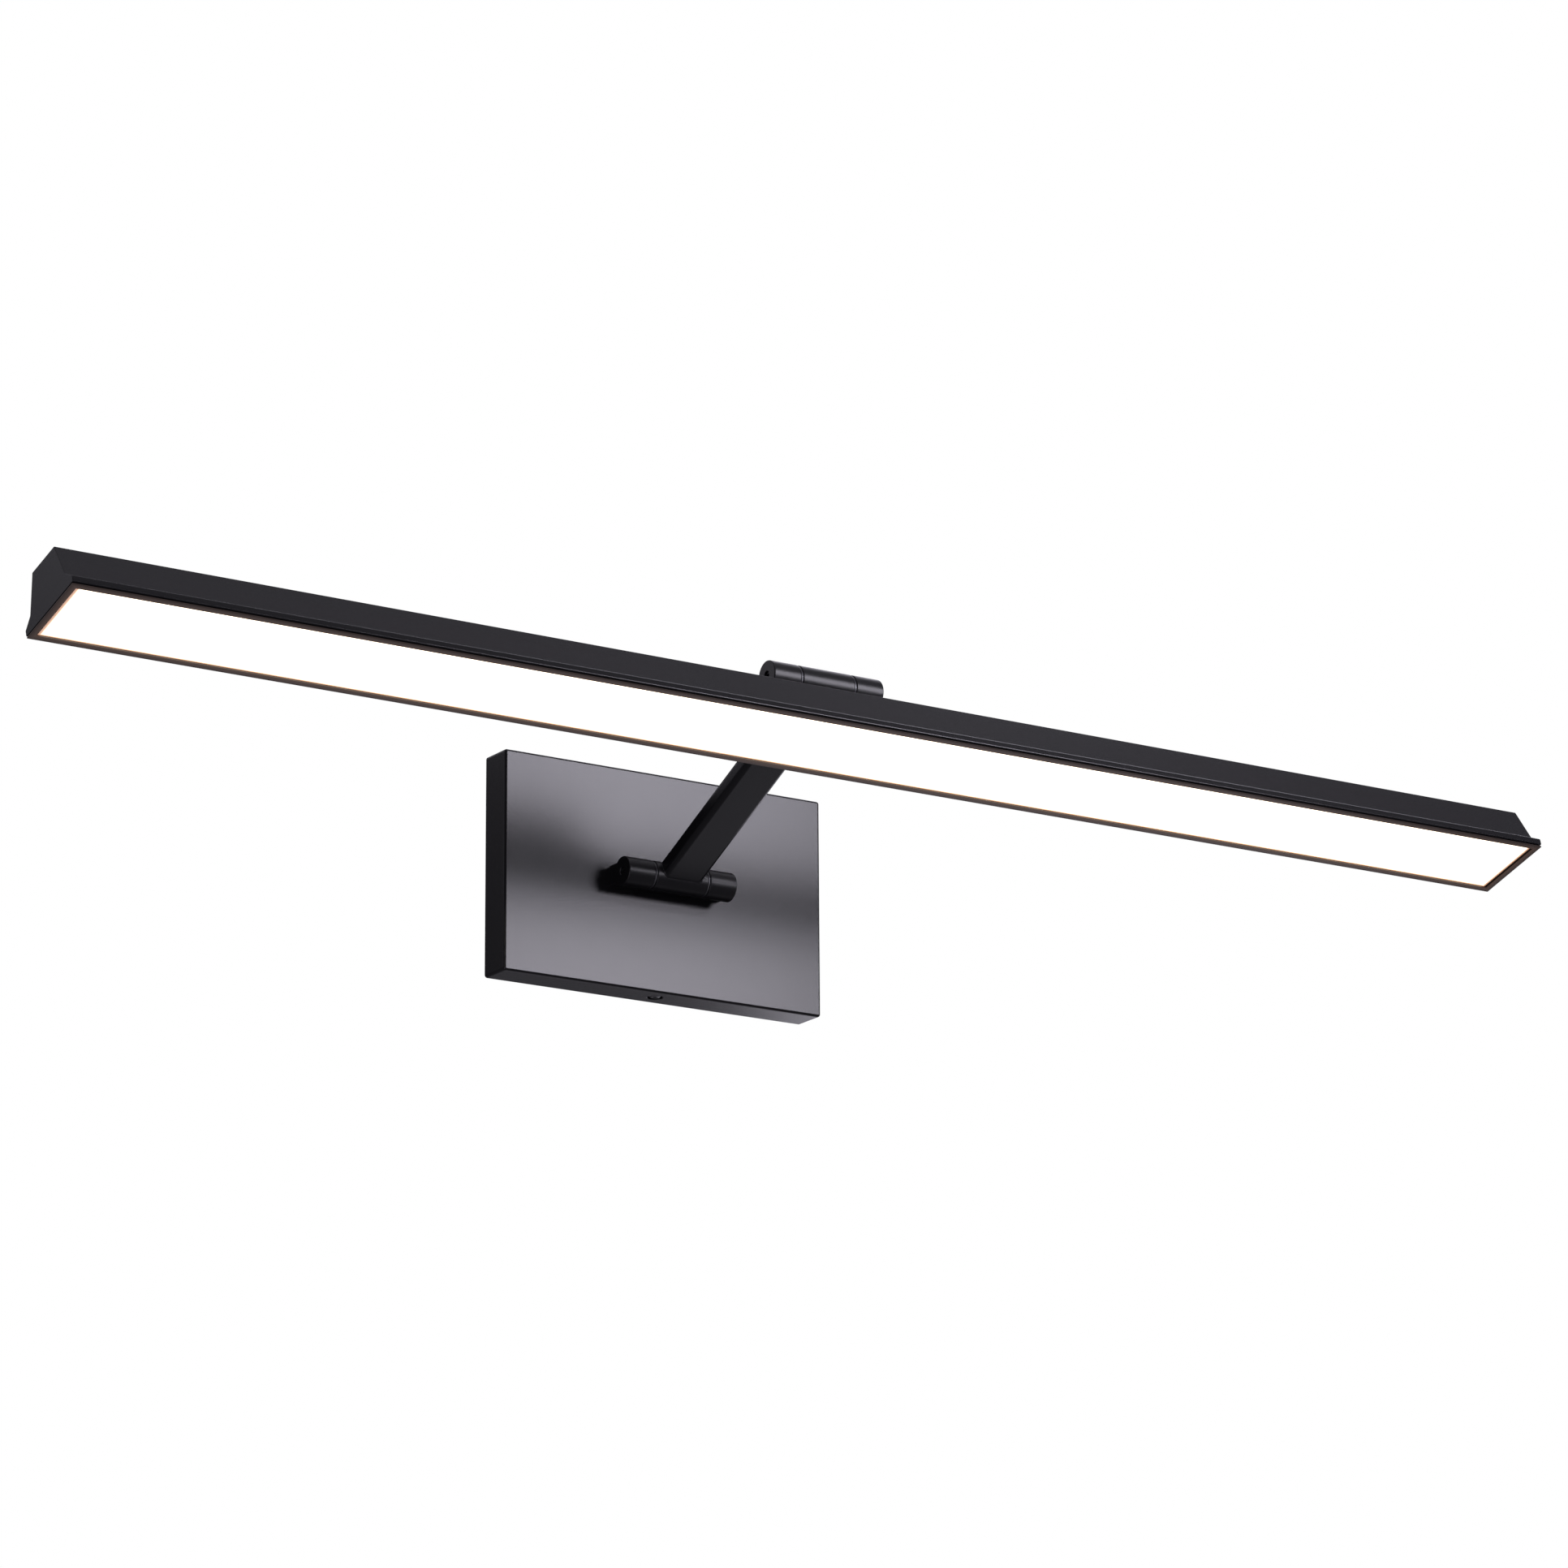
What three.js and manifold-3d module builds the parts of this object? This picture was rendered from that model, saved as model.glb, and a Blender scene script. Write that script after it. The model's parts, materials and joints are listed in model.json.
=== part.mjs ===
// A wall-mounted LED picture light in satin black: a shallow wall plate, a flat arm hinged at both
// ends, and a long trapezoid head with an opal panel underneath.
//
// Frame: millimetres, +X along the head, +Y into the wall, +Z up. The origin is the centre of the
// wall plate's back, on the wall plane. The arm and the head are modelled in turned groups whose
// origins are their own hinge axes, so that each piece is written in its own straight frame.
import * as THREE from "three";
import { mergeVertices } from "three/addons/utils/BufferGeometryUtils.js";
import Module from "manifold-3d";

const wasm = await Module();
wasm.setup();

// ---------------------------------------------------------------- driving dimensions

const GAP = 0.3; // clearance between neighbouring pieces

// Wall plate: a pressed tray, open at the back
const PLATE = { width: 200, height: 122, depth: 20.5, wall: 2, corner: 1.6, edge: 1.4 };

// Hinges: an outer lug, a friction washer, the barrel, a washer and a lug, all on one axis
const HINGE_RADIUS = 8;
const NECK_HALF = 5.7; // half the height of the neck that carries a lug's round nose
const HINGE_LENGTH = 68;
const BARREL_LENGTH = 32;
const WASHER_THICKNESS = 0.6;
const LUG_START = BARREL_LENGTH / 2 + WASHER_THICKNESS + 2 * GAP;
const LUG_END = HINGE_LENGTH / 2;
const LUG_MIDDLE = (LUG_START + LUG_END) / 2;
const SPIGOT_RADIUS = 4.2; // the threaded stub that a nut holds from inside
const NUT = { acrossFlats: 13, thickness: 3.2 };
const CABLE_BORE = 2.7; // radius of the wire way through lugs and spigots
const PIVOT = { screw: 2, bush: 4, bushBore: 2.4, depth: 9 };
const BUSH_END = LUG_MIDDLE - CABLE_BORE + 0.8; // how deep the bush's hole goes into the right lug

// Arm: a flat rectangular tube between the two barrels
const ARM = { length: 161, width: 25, thickness: 10, wall: 1.2, corner: 3 };
const ARM_ELEVATION = 26.5; // degrees above horizontal at rest

// Head: one extruded profile, symmetrical about its middle, measured down from the hinge axis
const HEAD_LENGTH = 905;
const HEAD_TILT = 17; // degrees, room-side edge up
const HEAD = {
  top: 9.7, // hinge axis to the top face
  topHalf: 12.1,
  base: 30.2, // foot of the sloping walls
  baseHalf: 19.4,
  flange: 35.1, // top edge of the flange's upright side
  flangeHalf: 25.8,
  bottom: 38.5, // lower edge of the extrusion
  wall: 1.9,
  skirt: 1.2, // thickness of the flange
  cap: 3, // end cap thickness
};
const BEZEL = { top: 39, bottom: 39.8, half: 25.2, lip: 3.4, upstand: 0.8 };
const DIFFUSER = { top: 36.7, bottom: 38.7, half: 22.6 };
const BOARD = { top: 22, thickness: 1.6, half: 13.4, chips: 44, chip: 2.8, chipHeight: 0.7 };

// Where the fixing centres are
const LOWER_AXIS = new THREE.Vector3(0, -PLATE.depth - 11.5, 0);
const BOX_SCREW_SPACING = 89;
const BRACKET = { thickness: 1.6, strap: 22, reach: 52 };
const BOX_SLOT = { half: 4, radius: 2.3 }; // half the straight stretch, and the end radius
const WIRE_RADIUS = 1.1;
const CABLE_RADIUS = 1.6;

// ---------------------------------------------------------------- solids

// Two places on an axis, lowest first
const between = (a, b) => [Math.min(a, b), Math.max(a, b)];

// The same two places on the left (side -1) or on the right (side 1) of the middle
const onSide = (side, near, far) => between(side * near, side * far);

const CENTRE = [0, 0, 0];

// A closed geometry as a manifold-3d solid
function solid(geometry) {
  const bare = geometry.index ? geometry.toNonIndexed() : geometry.clone();
  bare.deleteAttribute("normal");
  bare.deleteAttribute("uv");
  const merged = mergeVertices(bare, 1e-4);
  return new wasm.Manifold(
    new wasm.Mesh({
      numProp: 3,
      vertProperties: merged.attributes.position.array,
      triVerts: new Uint32Array(merged.index.array),
    }),
  );
}

function geometryOf(made) {
  const mesh = made.getMesh();
  const geometry = new THREE.BufferGeometry();
  geometry.setAttribute("position", new THREE.BufferAttribute(mesh.vertProperties, 3));
  geometry.setIndex(new THREE.BufferAttribute(mesh.triVerts, 1));
  const flat = geometry.toNonIndexed();
  flat.computeVertexNormals();
  return flat;
}

function block([x0, x1], [y0, y1], [z0, z1]) {
  const geometry = new THREE.BoxGeometry(x1 - x0, y1 - y0, z1 - z0);
  return solid(geometry.translate((x0 + x1) / 2, (y0 + y1) / 2, (z0 + z1) / 2));
}

// A round bar along "x", "y" or "z", between two places on that axis, through the given centre
function rod(axis, radius, [from, to], centre = CENTRE, sides = 32) {
  const geometry = new THREE.CylinderGeometry(radius, radius, to - from, sides);
  if (axis === "x") geometry.rotateZ(-Math.PI / 2);
  if (axis === "z") geometry.rotateX(Math.PI / 2);
  const place = new THREE.Vector3(...centre);
  place[axis] = (from + to) / 2;
  return solid(geometry.translate(place.x, place.y, place.z));
}

// A shape drawn as (y, z), extruded along X
function barAlongX(shape, [from, to], curveSegments = 12) {
  const geometry = new THREE.ExtrudeGeometry(shape, {
    depth: to - from,
    bevelEnabled: false,
    curveSegments,
  });
  const turn = new THREE.Matrix4().set(0, 0, 1, from, 1, 0, 0, 0, 0, 1, 0, 0, 0, 0, 0, 1);
  return solid(geometry.applyMatrix4(turn));
}

// A shape drawn as (x, z), extruded towards the room from y = back
function slabToRoom(shape, back, depth, options = {}) {
  const geometry = new THREE.ExtrudeGeometry(shape, {
    depth,
    bevelEnabled: false,
    curveSegments: 4,
    ...options,
  });
  return solid(geometry.rotateX(Math.PI / 2).translate(0, back, 0));
}

function polygon(points) {
  return new THREE.Shape(points.map(([u, v]) => new THREE.Vector2(u, v)));
}

// A profile given by its right half, from bottom to top, and mirrored
function mirrored(half) {
  return polygon([...half, ...half.map(([u, v]) => [-u, v]).reverse()]);
}

function roundedRectangle(width, height, radius) {
  const [w, h] = [width / 2, height / 2];
  const shape = new THREE.Shape();
  shape.moveTo(-w + radius, -h);
  shape.lineTo(w - radius, -h);
  shape.absarc(w - radius, -h + radius, radius, -Math.PI / 2, 0);
  shape.lineTo(w, h - radius);
  shape.absarc(w - radius, h - radius, radius, 0, Math.PI / 2);
  shape.lineTo(-w + radius, h);
  shape.absarc(-w + radius, h - radius, radius, Math.PI / 2, Math.PI);
  shape.lineTo(-w, -h + radius);
  shape.absarc(-w + radius, -h + radius, radius, Math.PI, 1.5 * Math.PI);
  return shape;
}

// A path of straight runs and eased bends, stepped evenly piece by piece rather than by length
class BentPath extends THREE.Curve {
  constructor(points, bend) {
    super();
    this.pieces = [];
    let start = points[0];
    for (let i = 1; i < points.length - 1; i++) {
      const corner = points[i];
      const before = points[i - 1].clone().sub(corner).normalize();
      const after = points[i + 1].clone().sub(corner).normalize();
      const enter = corner.clone().addScaledVector(before, bend);
      const leave = corner.clone().addScaledVector(after, bend);
      this.pieces.push(new THREE.LineCurve3(start, enter));
      this.pieces.push(new THREE.QuadraticBezierCurve3(enter, corner, leave));
      start = leave;
    }
    this.pieces.push(new THREE.LineCurve3(start, points[points.length - 1]));
  }

  getPoint(t) {
    const along = Math.min(t, 1) * this.pieces.length;
    const index = Math.min(Math.floor(along), this.pieces.length - 1);
    return this.pieces[index].getPoint(along - index);
  }

  getPointAt(t) {
    return this.getPoint(t);
  }

  getTangentAt(t) {
    return this.getTangent(t);
  }
}

// A round wire through the given points, its corners eased by the bend length
function wire(points, radius, bend) {
  const path = new BentPath(points.map((p) => new THREE.Vector3(...p)), bend);
  const section = new THREE.Shape();
  section.absarc(0, 0, radius, 0, 2 * Math.PI);
  const stepsPerPiece = 4;
  const geometry = new THREE.ExtrudeGeometry(section, {
    steps: path.pieces.length * stepsPerPiece,
    curveSegments: 4,
    extrudePath: path,
  });
  return solid(geometry);
}

function hexagon(acrossFlats) {
  const corner = acrossFlats / Math.sqrt(3);
  const points = [];
  for (let i = 0; i < 6; i++) {
    const angle = ((i + 0.5) * Math.PI) / 3;
    points.push([corner * Math.cos(angle), corner * Math.sin(angle)]);
  }
  return polygon(points);
}

function revolve(profile, sides) {
  const points = profile.map(([r, h]) => new THREE.Vector2(r, h));
  return new THREE.LatheGeometry(points, sides);
}

// ---------------------------------------------------------------- materials

function finish(color, roughness, metalness, extra = {}) {
  return new THREE.MeshStandardMaterial({ color, roughness, metalness, ...extra });
}

const satinBlack = finish("#1d1c1f", 0.45, 0.3);
const zincSteel = finish("#a9adb0", 0.4, 0.9);
const blackSteel = finish("#161617", 0.4, 0.7);
const brass = finish("#b08d4a", 0.35, 0.9);
const whitePlastic = finish("#e9e8e3", 0.5, 0);
const driverCase = finish("#d9d8d2", 0.55, 0);
const opal = finish("#ffffff", 0.35, 0, { emissive: "#fff3dd", emissiveIntensity: 1 });
const circuitWhite = finish("#f1f1ec", 0.5, 0);
const washerSteel = finish("#8f9295", 0.35, 0.9);
const foam = finish("#4b4b4b", 0.9, 0);
const blackSheath = finish("#141414", 0.6, 0);
const whiteSheath = finish("#ededed", 0.55, 0);
const greenSheath = finish("#2d7a3c", 0.55, 0);
const capPlastic = finish("#c9702a", 0.5, 0);

// ---------------------------------------------------------------- wall plate and its fixings

const PLATE_SCREW = {
  y: -PLATE.depth / 2,
  recess: 4.3,
  recessDepth: 2.2,
  pad: 4.2, // thickness of the plate's edge where the screw goes through
  padHalf: 7, // half the length of that thick stretch
  padBack: 2.5, // its distance from the wall
  head: 3.4,
  headHeight: 1.9,
  shank: 1.5,
  length: 9,
  socket: 2.5, // across flats
  socketDepth: 1.1,
};

function wallPlate() {
  const outline = roundedRectangle(PLATE.width, PLATE.height, PLATE.corner);
  const rounding = PLATE.edge * 0.95; // sideways, a little less than the corner radius
  const outer = slabToRoom(outline, 0, PLATE.depth - PLATE.edge, {
    bevelEnabled: true,
    bevelSegments: 4,
    bevelThickness: PLATE.edge,
    bevelSize: rounding,
    bevelOffset: -rounding,
  });
  const [w, h] = [PLATE.width / 2, PLATE.height / 2];
  const behindWall = block([-w, w], [0, 2 * PLATE.edge], [-h, h]);
  const floor = -PLATE.depth + PLATE.wall;
  const hollow = block([-w + PLATE.wall, w - PLATE.wall], [floor, 1], [-h + PLATE.wall, h - PLATE.wall]);
  let plate = outer.subtract(behindWall).subtract(hollow);
  const { y, pad, padHalf, padBack, recess, recessDepth, shank } = PLATE_SCREW;
  for (const side of [-1, 1]) {
    const thickening = onSide(side, h - pad, h - PLATE.wall / 2);
    const counterbore = onSide(side, h - recessDepth, h + 1);
    const screwHole = onSide(side, h - pad - 1, h);
    const spigotHole = [-PLATE.depth - 1, floor + 1];
    plate = plate
      .add(block([-padHalf, padHalf], [floor - 0.5, -padBack], thickening))
      .subtract(rod("z", recess, counterbore, [0, y, 0]))
      .subtract(rod("z", shank + GAP, screwHole, [0, y, 0]))
      .subtract(rod("y", SPIGOT_RADIUS + GAP, spigotHole, [side * LUG_MIDDLE, 0, 0]));
  }
  return plate;
}

// Pan head with a hexagon socket, pointing along +Z with its head below
function plateScrew() {
  const { head, headHeight, shank, length, socket, socketDepth } = PLATE_SCREW;
  const point = 0.6; // chamfer at the thread's end
  const profile = [
    [0, 0],
    [head * 0.72, 0],
    [head * 0.94, headHeight * 0.35],
    [head, headHeight],
    [shank, headHeight],
    [shank, length - point],
    [shank - point, length],
    [0, length],
  ];
  const key = new THREE.ExtrudeGeometry(hexagon(socket), {
    depth: socketDepth + 1,
    bevelEnabled: false,
  });
  return solid(revolve(profile, 24).rotateX(Math.PI / 2)).subtract(solid(key.translate(0, 0, -1)));
}

function placedPlateScrew(side) {
  const start = PLATE.height / 2 - PLATE_SCREW.recessDepth + PLATE_SCREW.headHeight;
  const geometry = geometryOf(plateScrew());
  if (side > 0) geometry.rotateX(Math.PI);
  return solid(geometry.translate(0, PLATE_SCREW.y, side * (start + 0.1)));
}

// A slot along X through the bracket, with round ends
function boxSlot(x, through) {
  const { half, radius } = BOX_SLOT;
  return block([x - half, x + half], through, [-radius, radius])
    .add(rod("y", radius, through, [x - half, 0, 0], 16))
    .add(rod("y", radius, through, [x + half, 0, 0], 16));
}

// A cross of strip steel on the junction box, with a threaded tab at the top and at the bottom
function mountingBracket() {
  const { thickness, strap, reach } = BRACKET;
  const half = strap / 2;
  const tabOuter = PLATE.height / 2 - PLATE_SCREW.pad - GAP;
  const tabTip = PLATE_SCREW.y - 5;
  const through = [-thickness - 1, 1];
  let bracket = block([-reach, reach], [-thickness, 0], [-half, half]).add(
    block([-half, half], [-thickness, 0], [-tabOuter, tabOuter]),
  );
  for (const side of [-1, 1]) {
    const tab = onSide(side, tabOuter - thickness, tabOuter);
    const thread = [tab[0] - 1, tab[1] + 1];
    bracket = bracket
      .add(block([-half, half], [tabTip, 0], tab))
      .subtract(rod("z", PLATE_SCREW.shank + GAP / 2, thread, [0, PLATE_SCREW.y, 0]))
      .subtract(boxSlot((side * BOX_SCREW_SPACING) / 2, through));
  }
  const [x, , z] = GROUND_SCREW.place;
  return bracket.subtract(rod("y", GROUND_SCREW.shank + GAP / 2, through, [x, 0, z], 16));
}

// A pan-head screw that points into the wall, with a straight slot across its head
function panScrew({ place, head, height, shank, seat, tip }) {
  const [x, , z] = place;
  const profile = [
    [0, 0],
    [shank, 0],
    [shank, tip - seat],
    [head, tip - seat],
    [head * 0.9, tip - seat + height * 0.7],
    [head * 0.6, tip - seat + height],
    [0, tip - seat + height],
  ];
  const body = solid(revolve(profile, 20).rotateX(Math.PI).translate(x, tip, z));
  const front = seat - height;
  const slotHalf = 0.5;
  return body.subtract(
    block([x - head, x + head], [front - 1, front + height * 0.5], [z - slotHalf, z + slotHalf]),
  );
}

const BOX_SCREW = {
  head: 4,
  height: 2.4,
  shank: 1.95,
  seat: -BRACKET.thickness - 0.1,
  tip: -0.05,
};
const RING_TERMINAL = { outer: 4, inner: 2, thickness: 0.8 };
const GROUND_SCREW = {
  place: [30, 0, -5.5],
  head: 3.2,
  height: 2.2,
  shank: 1.45,
  seat: -BRACKET.thickness - RING_TERMINAL.thickness - 0.3,
  tip: -0.05,
};

// ---------------------------------------------------------------- electrics behind the plate

const DRIVER = { x: [-94, -58], y: [-17, -4.5], z: [-35, 35] };
const WIRE_LANE = -9; // depth at which the loose wires lie
const WIRE_CAP = { start: 57, length: 19, mouth: 4.6, tip: 3.1, bore: 1.8, depth: 7 };
const CAP_ROWS = { live: 40, neutral: 27, ground: -27 };
const LEAD_END = WIRE_CAP.start + WIRE_CAP.depth - 1; // where the leads end inside their caps

function ledDriver() {
  const width = DRIVER.x[1] - DRIVER.x[0];
  const height = DRIVER.z[1] - DRIVER.z[0];
  const depth = DRIVER.y[1] - DRIVER.y[0];
  const middle = (DRIVER.x[0] + DRIVER.x[1]) / 2;
  const outline = roundedRectangle(width, height, 2.5);
  const chamfer = 1;
  const shell = slabToRoom(outline, DRIVER.y[1] - chamfer, depth - 2 * chamfer, {
    bevelEnabled: true,
    bevelSegments: 1,
    bevelThickness: chamfer,
    bevelSize: chamfer,
    bevelOffset: -chamfer,
  });
  return shell.translate(middle, 0, 0);
}

function driverPad() {
  const inset = 3;
  return block(
    [DRIVER.x[0] + inset, DRIVER.x[1] - inset],
    [-PLATE.depth + PLATE.wall + 0.1, DRIVER.y[0] - 0.1],
    [DRIVER.z[0] + inset, DRIVER.z[1] - inset],
  );
}

// A twist-on cap: a fluted cone with a blind bore that takes the wires' ends
function wireCap(z) {
  const { length, mouth, tip, bore, depth } = WIRE_CAP;
  const profile = [
    [bore, 0],
    [mouth, 0],
    [mouth, length * 0.3],
    [tip, length * 0.85],
    [tip - 0.9, length],
    [0, length],
    [0, depth],
    [bore, depth],
    [bore, 0],
  ];
  let cap = solid(revolve(profile, 16));
  const flutes = 6;
  const fluteRadius = 0.6;
  for (let i = 0; i < flutes; i++) {
    const flute = new THREE.CylinderGeometry(fluteRadius, fluteRadius, length * 0.6, 6);
    flute.translate(mouth + 0.1, length * 0.62, 0).rotateY((i * 2 * Math.PI) / flutes);
    cap = cap.subtract(solid(flute));
  }
  const placed = geometryOf(cap).rotateZ(-Math.PI / 2).translate(WIRE_CAP.start, WIRE_LANE, z);
  return solid(placed);
}

// From the driver's end, across the plate to a cap: straight out, a slope to the cap's row, straight
function supplyLead(leaveZ, capZ) {
  const out = DRIVER.x[1];
  return wire(
    [
      [out + GAP, WIRE_LANE, leaveZ],
      [out + 12, WIRE_LANE, leaveZ],
      [out + 30, WIRE_LANE, capZ],
      [LEAD_END, WIRE_LANE, capZ],
    ],
    WIRE_RADIUS,
    5,
  );
}

// The earth wire, with a ring terminal under the ground screw
function groundLead() {
  const [x, , z] = GROUND_SCREW.place;
  const { outer, inner, thickness } = RING_TERMINAL;
  const back = -BRACKET.thickness - 0.1;
  const middle = back - thickness / 2;
  const ring = rod("y", outer, [back - thickness, back], [x, 0, z], 20).subtract(
    rod("y", inner, [back - thickness - 1, back + 1], [x, 0, z], 20),
  );
  const lead = wire(
    [
      [x + outer - 0.8, middle - 0.8, z - 1.5],
      [x + 12, middle - 1.6, z - 6],
      [x + 16, WIRE_LANE, CAP_ROWS.ground],
      [LEAD_END, WIRE_LANE, CAP_ROWS.ground],
    ],
    WIRE_RADIUS,
    3,
  );
  return ring.add(lead);
}

// From the driver, round below the left nut to the right lug's spigot, and into the hinge's axis
function driverCable() {
  const lane = WIRE_LANE + 1.5;
  const below = -20; // clear of the nuts
  return wire(
    [
      [DRIVER.x[1] + GAP, lane, -14],
      [-30, lane, below],
      [12, lane, below],
      [LUG_MIDDLE, lane, -4],
      [LUG_MIDDLE, WIRE_LANE, 0],
      [LUG_MIDDLE, LOWER_AXIS.y, 0],
      [BARREL_LENGTH / 2 + GAP, LOWER_AXIS.y, 0],
    ],
    CABLE_RADIUS,
    2.4,
  );
}

// ---------------------------------------------------------------- hinge pieces

const WAY_PAST = 1.9; // how far a wire way runs past the one that it meets

// A lug: a round nose on the hinge axis and a narrower flat-sided neck down to its seat, at -Z in
// this frame, with a threaded spigot below the seat. side is -1 for the left lug, 1 for the right.
function lug(side, seat, spigotLength) {
  const meet = Math.asin(NECK_HALF / HINGE_RADIUS); // where the nose runs into the neck
  const shape = new THREE.Shape();
  shape.moveTo(NECK_HALF, -seat);
  shape.absarc(0, 0, HINGE_RADIUS, meet - Math.PI / 2, 1.5 * Math.PI - meet);
  shape.lineTo(-NECK_HALF, -seat);
  const x = side * LUG_MIDDLE;
  const made = barAlongX(shape, onSide(side, LUG_START, LUG_END), 16).add(
    rod("z", SPIGOT_RADIUS, [-seat - spigotLength, -seat + 1], [x, 0, 0], 24),
  );
  if (side < 0) return made.subtract(rod("x", PIVOT.screw + GAP / 2, [-LUG_END - 1, 0]));
  return made
    .subtract(rod("x", PIVOT.bush + GAP / 2, [LUG_START - 1, BUSH_END]))
    .subtract(rod("x", PIVOT.bushBore, [BUSH_END - 1, LUG_MIDDLE + WAY_PAST], CENTRE, 24))
    .subtract(rod("z", CABLE_BORE, [-seat - spigotLength - 1, 2.1], [x, 0, 0], 20));
}

// A hexagon nut on the spigot, under a wall of the given thickness
function lugNut(side, seat, wall) {
  const top = -seat - wall - 0.1;
  const nut = new THREE.ExtrudeGeometry(hexagon(NUT.acrossFlats), {
    depth: NUT.thickness,
    bevelEnabled: false,
  });
  const x = side * LUG_MIDDLE;
  return solid(nut.translate(x, 0, top - NUT.thickness)).subtract(
    rod("z", SPIGOT_RADIUS + 0.15, [top - NUT.thickness - 1, top + 1], [x, 0, 0], 24),
  );
}

// The left pivot: a headless screw with a hexagon socket, sunk just below the lug's end
function pivotScrew() {
  const sunk = 1;
  const tip = -BARREL_LENGTH / 2 + PIVOT.depth - 1;
  const socket = new THREE.ExtrudeGeometry(hexagon(PIVOT.screw), { depth: 3, bevelEnabled: false });
  socket.rotateY(Math.PI / 2).translate(-LUG_END + sunk - 1, 0, 0);
  return rod("x", PIVOT.screw, [-LUG_END + sunk, tip], CENTRE, 24).subtract(solid(socket));
}

// The right pivot: a hollow bush that also carries the cable through the joint
function pivotBush() {
  const span = [BARREL_LENGTH / 2 - PIVOT.depth + GAP, BUSH_END - GAP];
  return rod("x", PIVOT.bush, span).subtract(
    rod("x", PIVOT.bushBore, [span[0] - 1, span[1] + 1], CENTRE, 24),
  );
}

function washer(side) {
  const inner = BARREL_LENGTH / 2 + GAP;
  const span = onSide(side, inner, inner + WASHER_THICKNESS);
  const bore = (side < 0 ? PIVOT.screw : PIVOT.bush) + GAP / 2;
  return rod("x", HINGE_RADIUS - 0.35, span).subtract(
    rod("x", bore, [span[0] - 1, span[1] + 1], CENTRE, 24),
  );
}

// ---------------------------------------------------------------- arm

const ARM_SOCKET = PIVOT.bush + 0.5; // distance from a hinge axis to the tube's end

// A barrel with its arm socket facing the given side: -1 towards -Y, 1 towards +Y
function barrel(facing) {
  const half = BARREL_LENGTH / 2;
  const reach = HINGE_RADIUS + 1;
  const socketDepth = onSide(facing, ARM_SOCKET - 0.2, reach);
  const wireWay = onSide(facing, -WAY_PAST, reach);
  const [w, t] = [ARM.width / 2 + GAP, ARM.thickness / 2 + GAP];
  return rod("x", HINGE_RADIUS, [-half, half], CENTRE, 48)
    .subtract(block([-w, w], socketDepth, [-t, t]))
    .subtract(rod("x", PIVOT.screw + GAP / 2, [-half - 1, -half + PIVOT.depth], CENTRE, 24))
    .subtract(rod("x", PIVOT.bush + GAP / 2, [half - PIVOT.depth, half + 1]))
    .subtract(rod("x", PIVOT.bushBore, [-2, half], CENTRE, 24))
    .subtract(rod("y", CABLE_BORE, wireWay, CENTRE, 20));
}

// Drawn along -Y from the lower axis
function armTube() {
  const outer = roundedRectangle(ARM.width, ARM.thickness, ARM.corner);
  const inner = roundedRectangle(
    ARM.width - 2 * ARM.wall,
    ARM.thickness - 2 * ARM.wall,
    ARM.corner - ARM.wall,
  );
  const length = ARM.length - 2 * ARM_SOCKET;
  return slabToRoom(outer, -ARM_SOCKET, length).subtract(
    slabToRoom(inner, -ARM_SOCKET + 1, length + 2),
  );
}

function armCable() {
  const start = BARREL_LENGTH / 2 - GAP;
  return wire(
    [
      [start, 0, 0],
      [0, 0, 0],
      [0, -ARM.length, 0],
      [start, -ARM.length, 0],
    ],
    CABLE_RADIUS,
    2.4,
  );
}

// ---------------------------------------------------------------- head

const HALF_HEAD = HEAD_LENGTH / 2;
const INSIDE_END = HALF_HEAD - HEAD.cap;
const CEILING = HEAD.top + HEAD.wall; // underside of the top wall

function headOutline() {
  return mirrored([
    [HEAD.flangeHalf, -HEAD.bottom],
    [HEAD.flangeHalf, -HEAD.flange],
    [HEAD.baseHalf, -HEAD.base],
    [HEAD.topHalf, -HEAD.top],
  ]);
}

// Half-width of the head's outside at a depth below the axis, on the sloping wall
function wallHalf(depth) {
  const slope = (HEAD.baseHalf - HEAD.topHalf) / (HEAD.base - HEAD.top);
  return HEAD.topHalf + slope * (depth - HEAD.top);
}

function housing() {
  const span = [-INSIDE_END + 0.1, INSIDE_END - 0.1];
  const cavity = mirrored([
    [HEAD.flangeHalf - HEAD.skirt, -HEAD.bottom - 1],
    [HEAD.flangeHalf - HEAD.skirt, -HEAD.flange - 0.9],
    [HEAD.baseHalf - HEAD.wall, -HEAD.base - 0.4],
    [wallHalf(CEILING) - HEAD.wall, -CEILING],
  ]);
  let made = barAlongX(headOutline(), span).subtract(barAlongX(cavity, [-HALF_HEAD, HALF_HEAD]));
  const ledgeTop = BOARD.top + BOARD.thickness + 0.2; // two ledges carry the board's edges
  const spigotHole = [-CEILING - 1, -HEAD.top + 1];
  for (const side of [-1, 1]) {
    const across = onSide(side, BOARD.half - 1.6, wallHalf(ledgeTop) - HEAD.wall / 2);
    made = made
      .add(block(span, across, [-ledgeTop - 1, -ledgeTop]))
      .subtract(rod("z", SPIGOT_RADIUS + GAP, spigotHole, [side * LUG_MIDDLE, 0, 0]));
  }
  return made;
}

// The end cap: the same outline as the profile, with a tongue that enters the wiring channel
function endCap(side) {
  const tongue = onSide(side, INSIDE_END - 8, INSIDE_END + 1);
  const top = CEILING + GAP;
  const half = wallHalf(top) - HEAD.wall - GAP;
  return barAlongX(headOutline(), onSide(side, INSIDE_END, HALF_HEAD)).add(
    block(tongue, [-half, half], [-BOARD.top + 0.8, -top]),
  );
}

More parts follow.
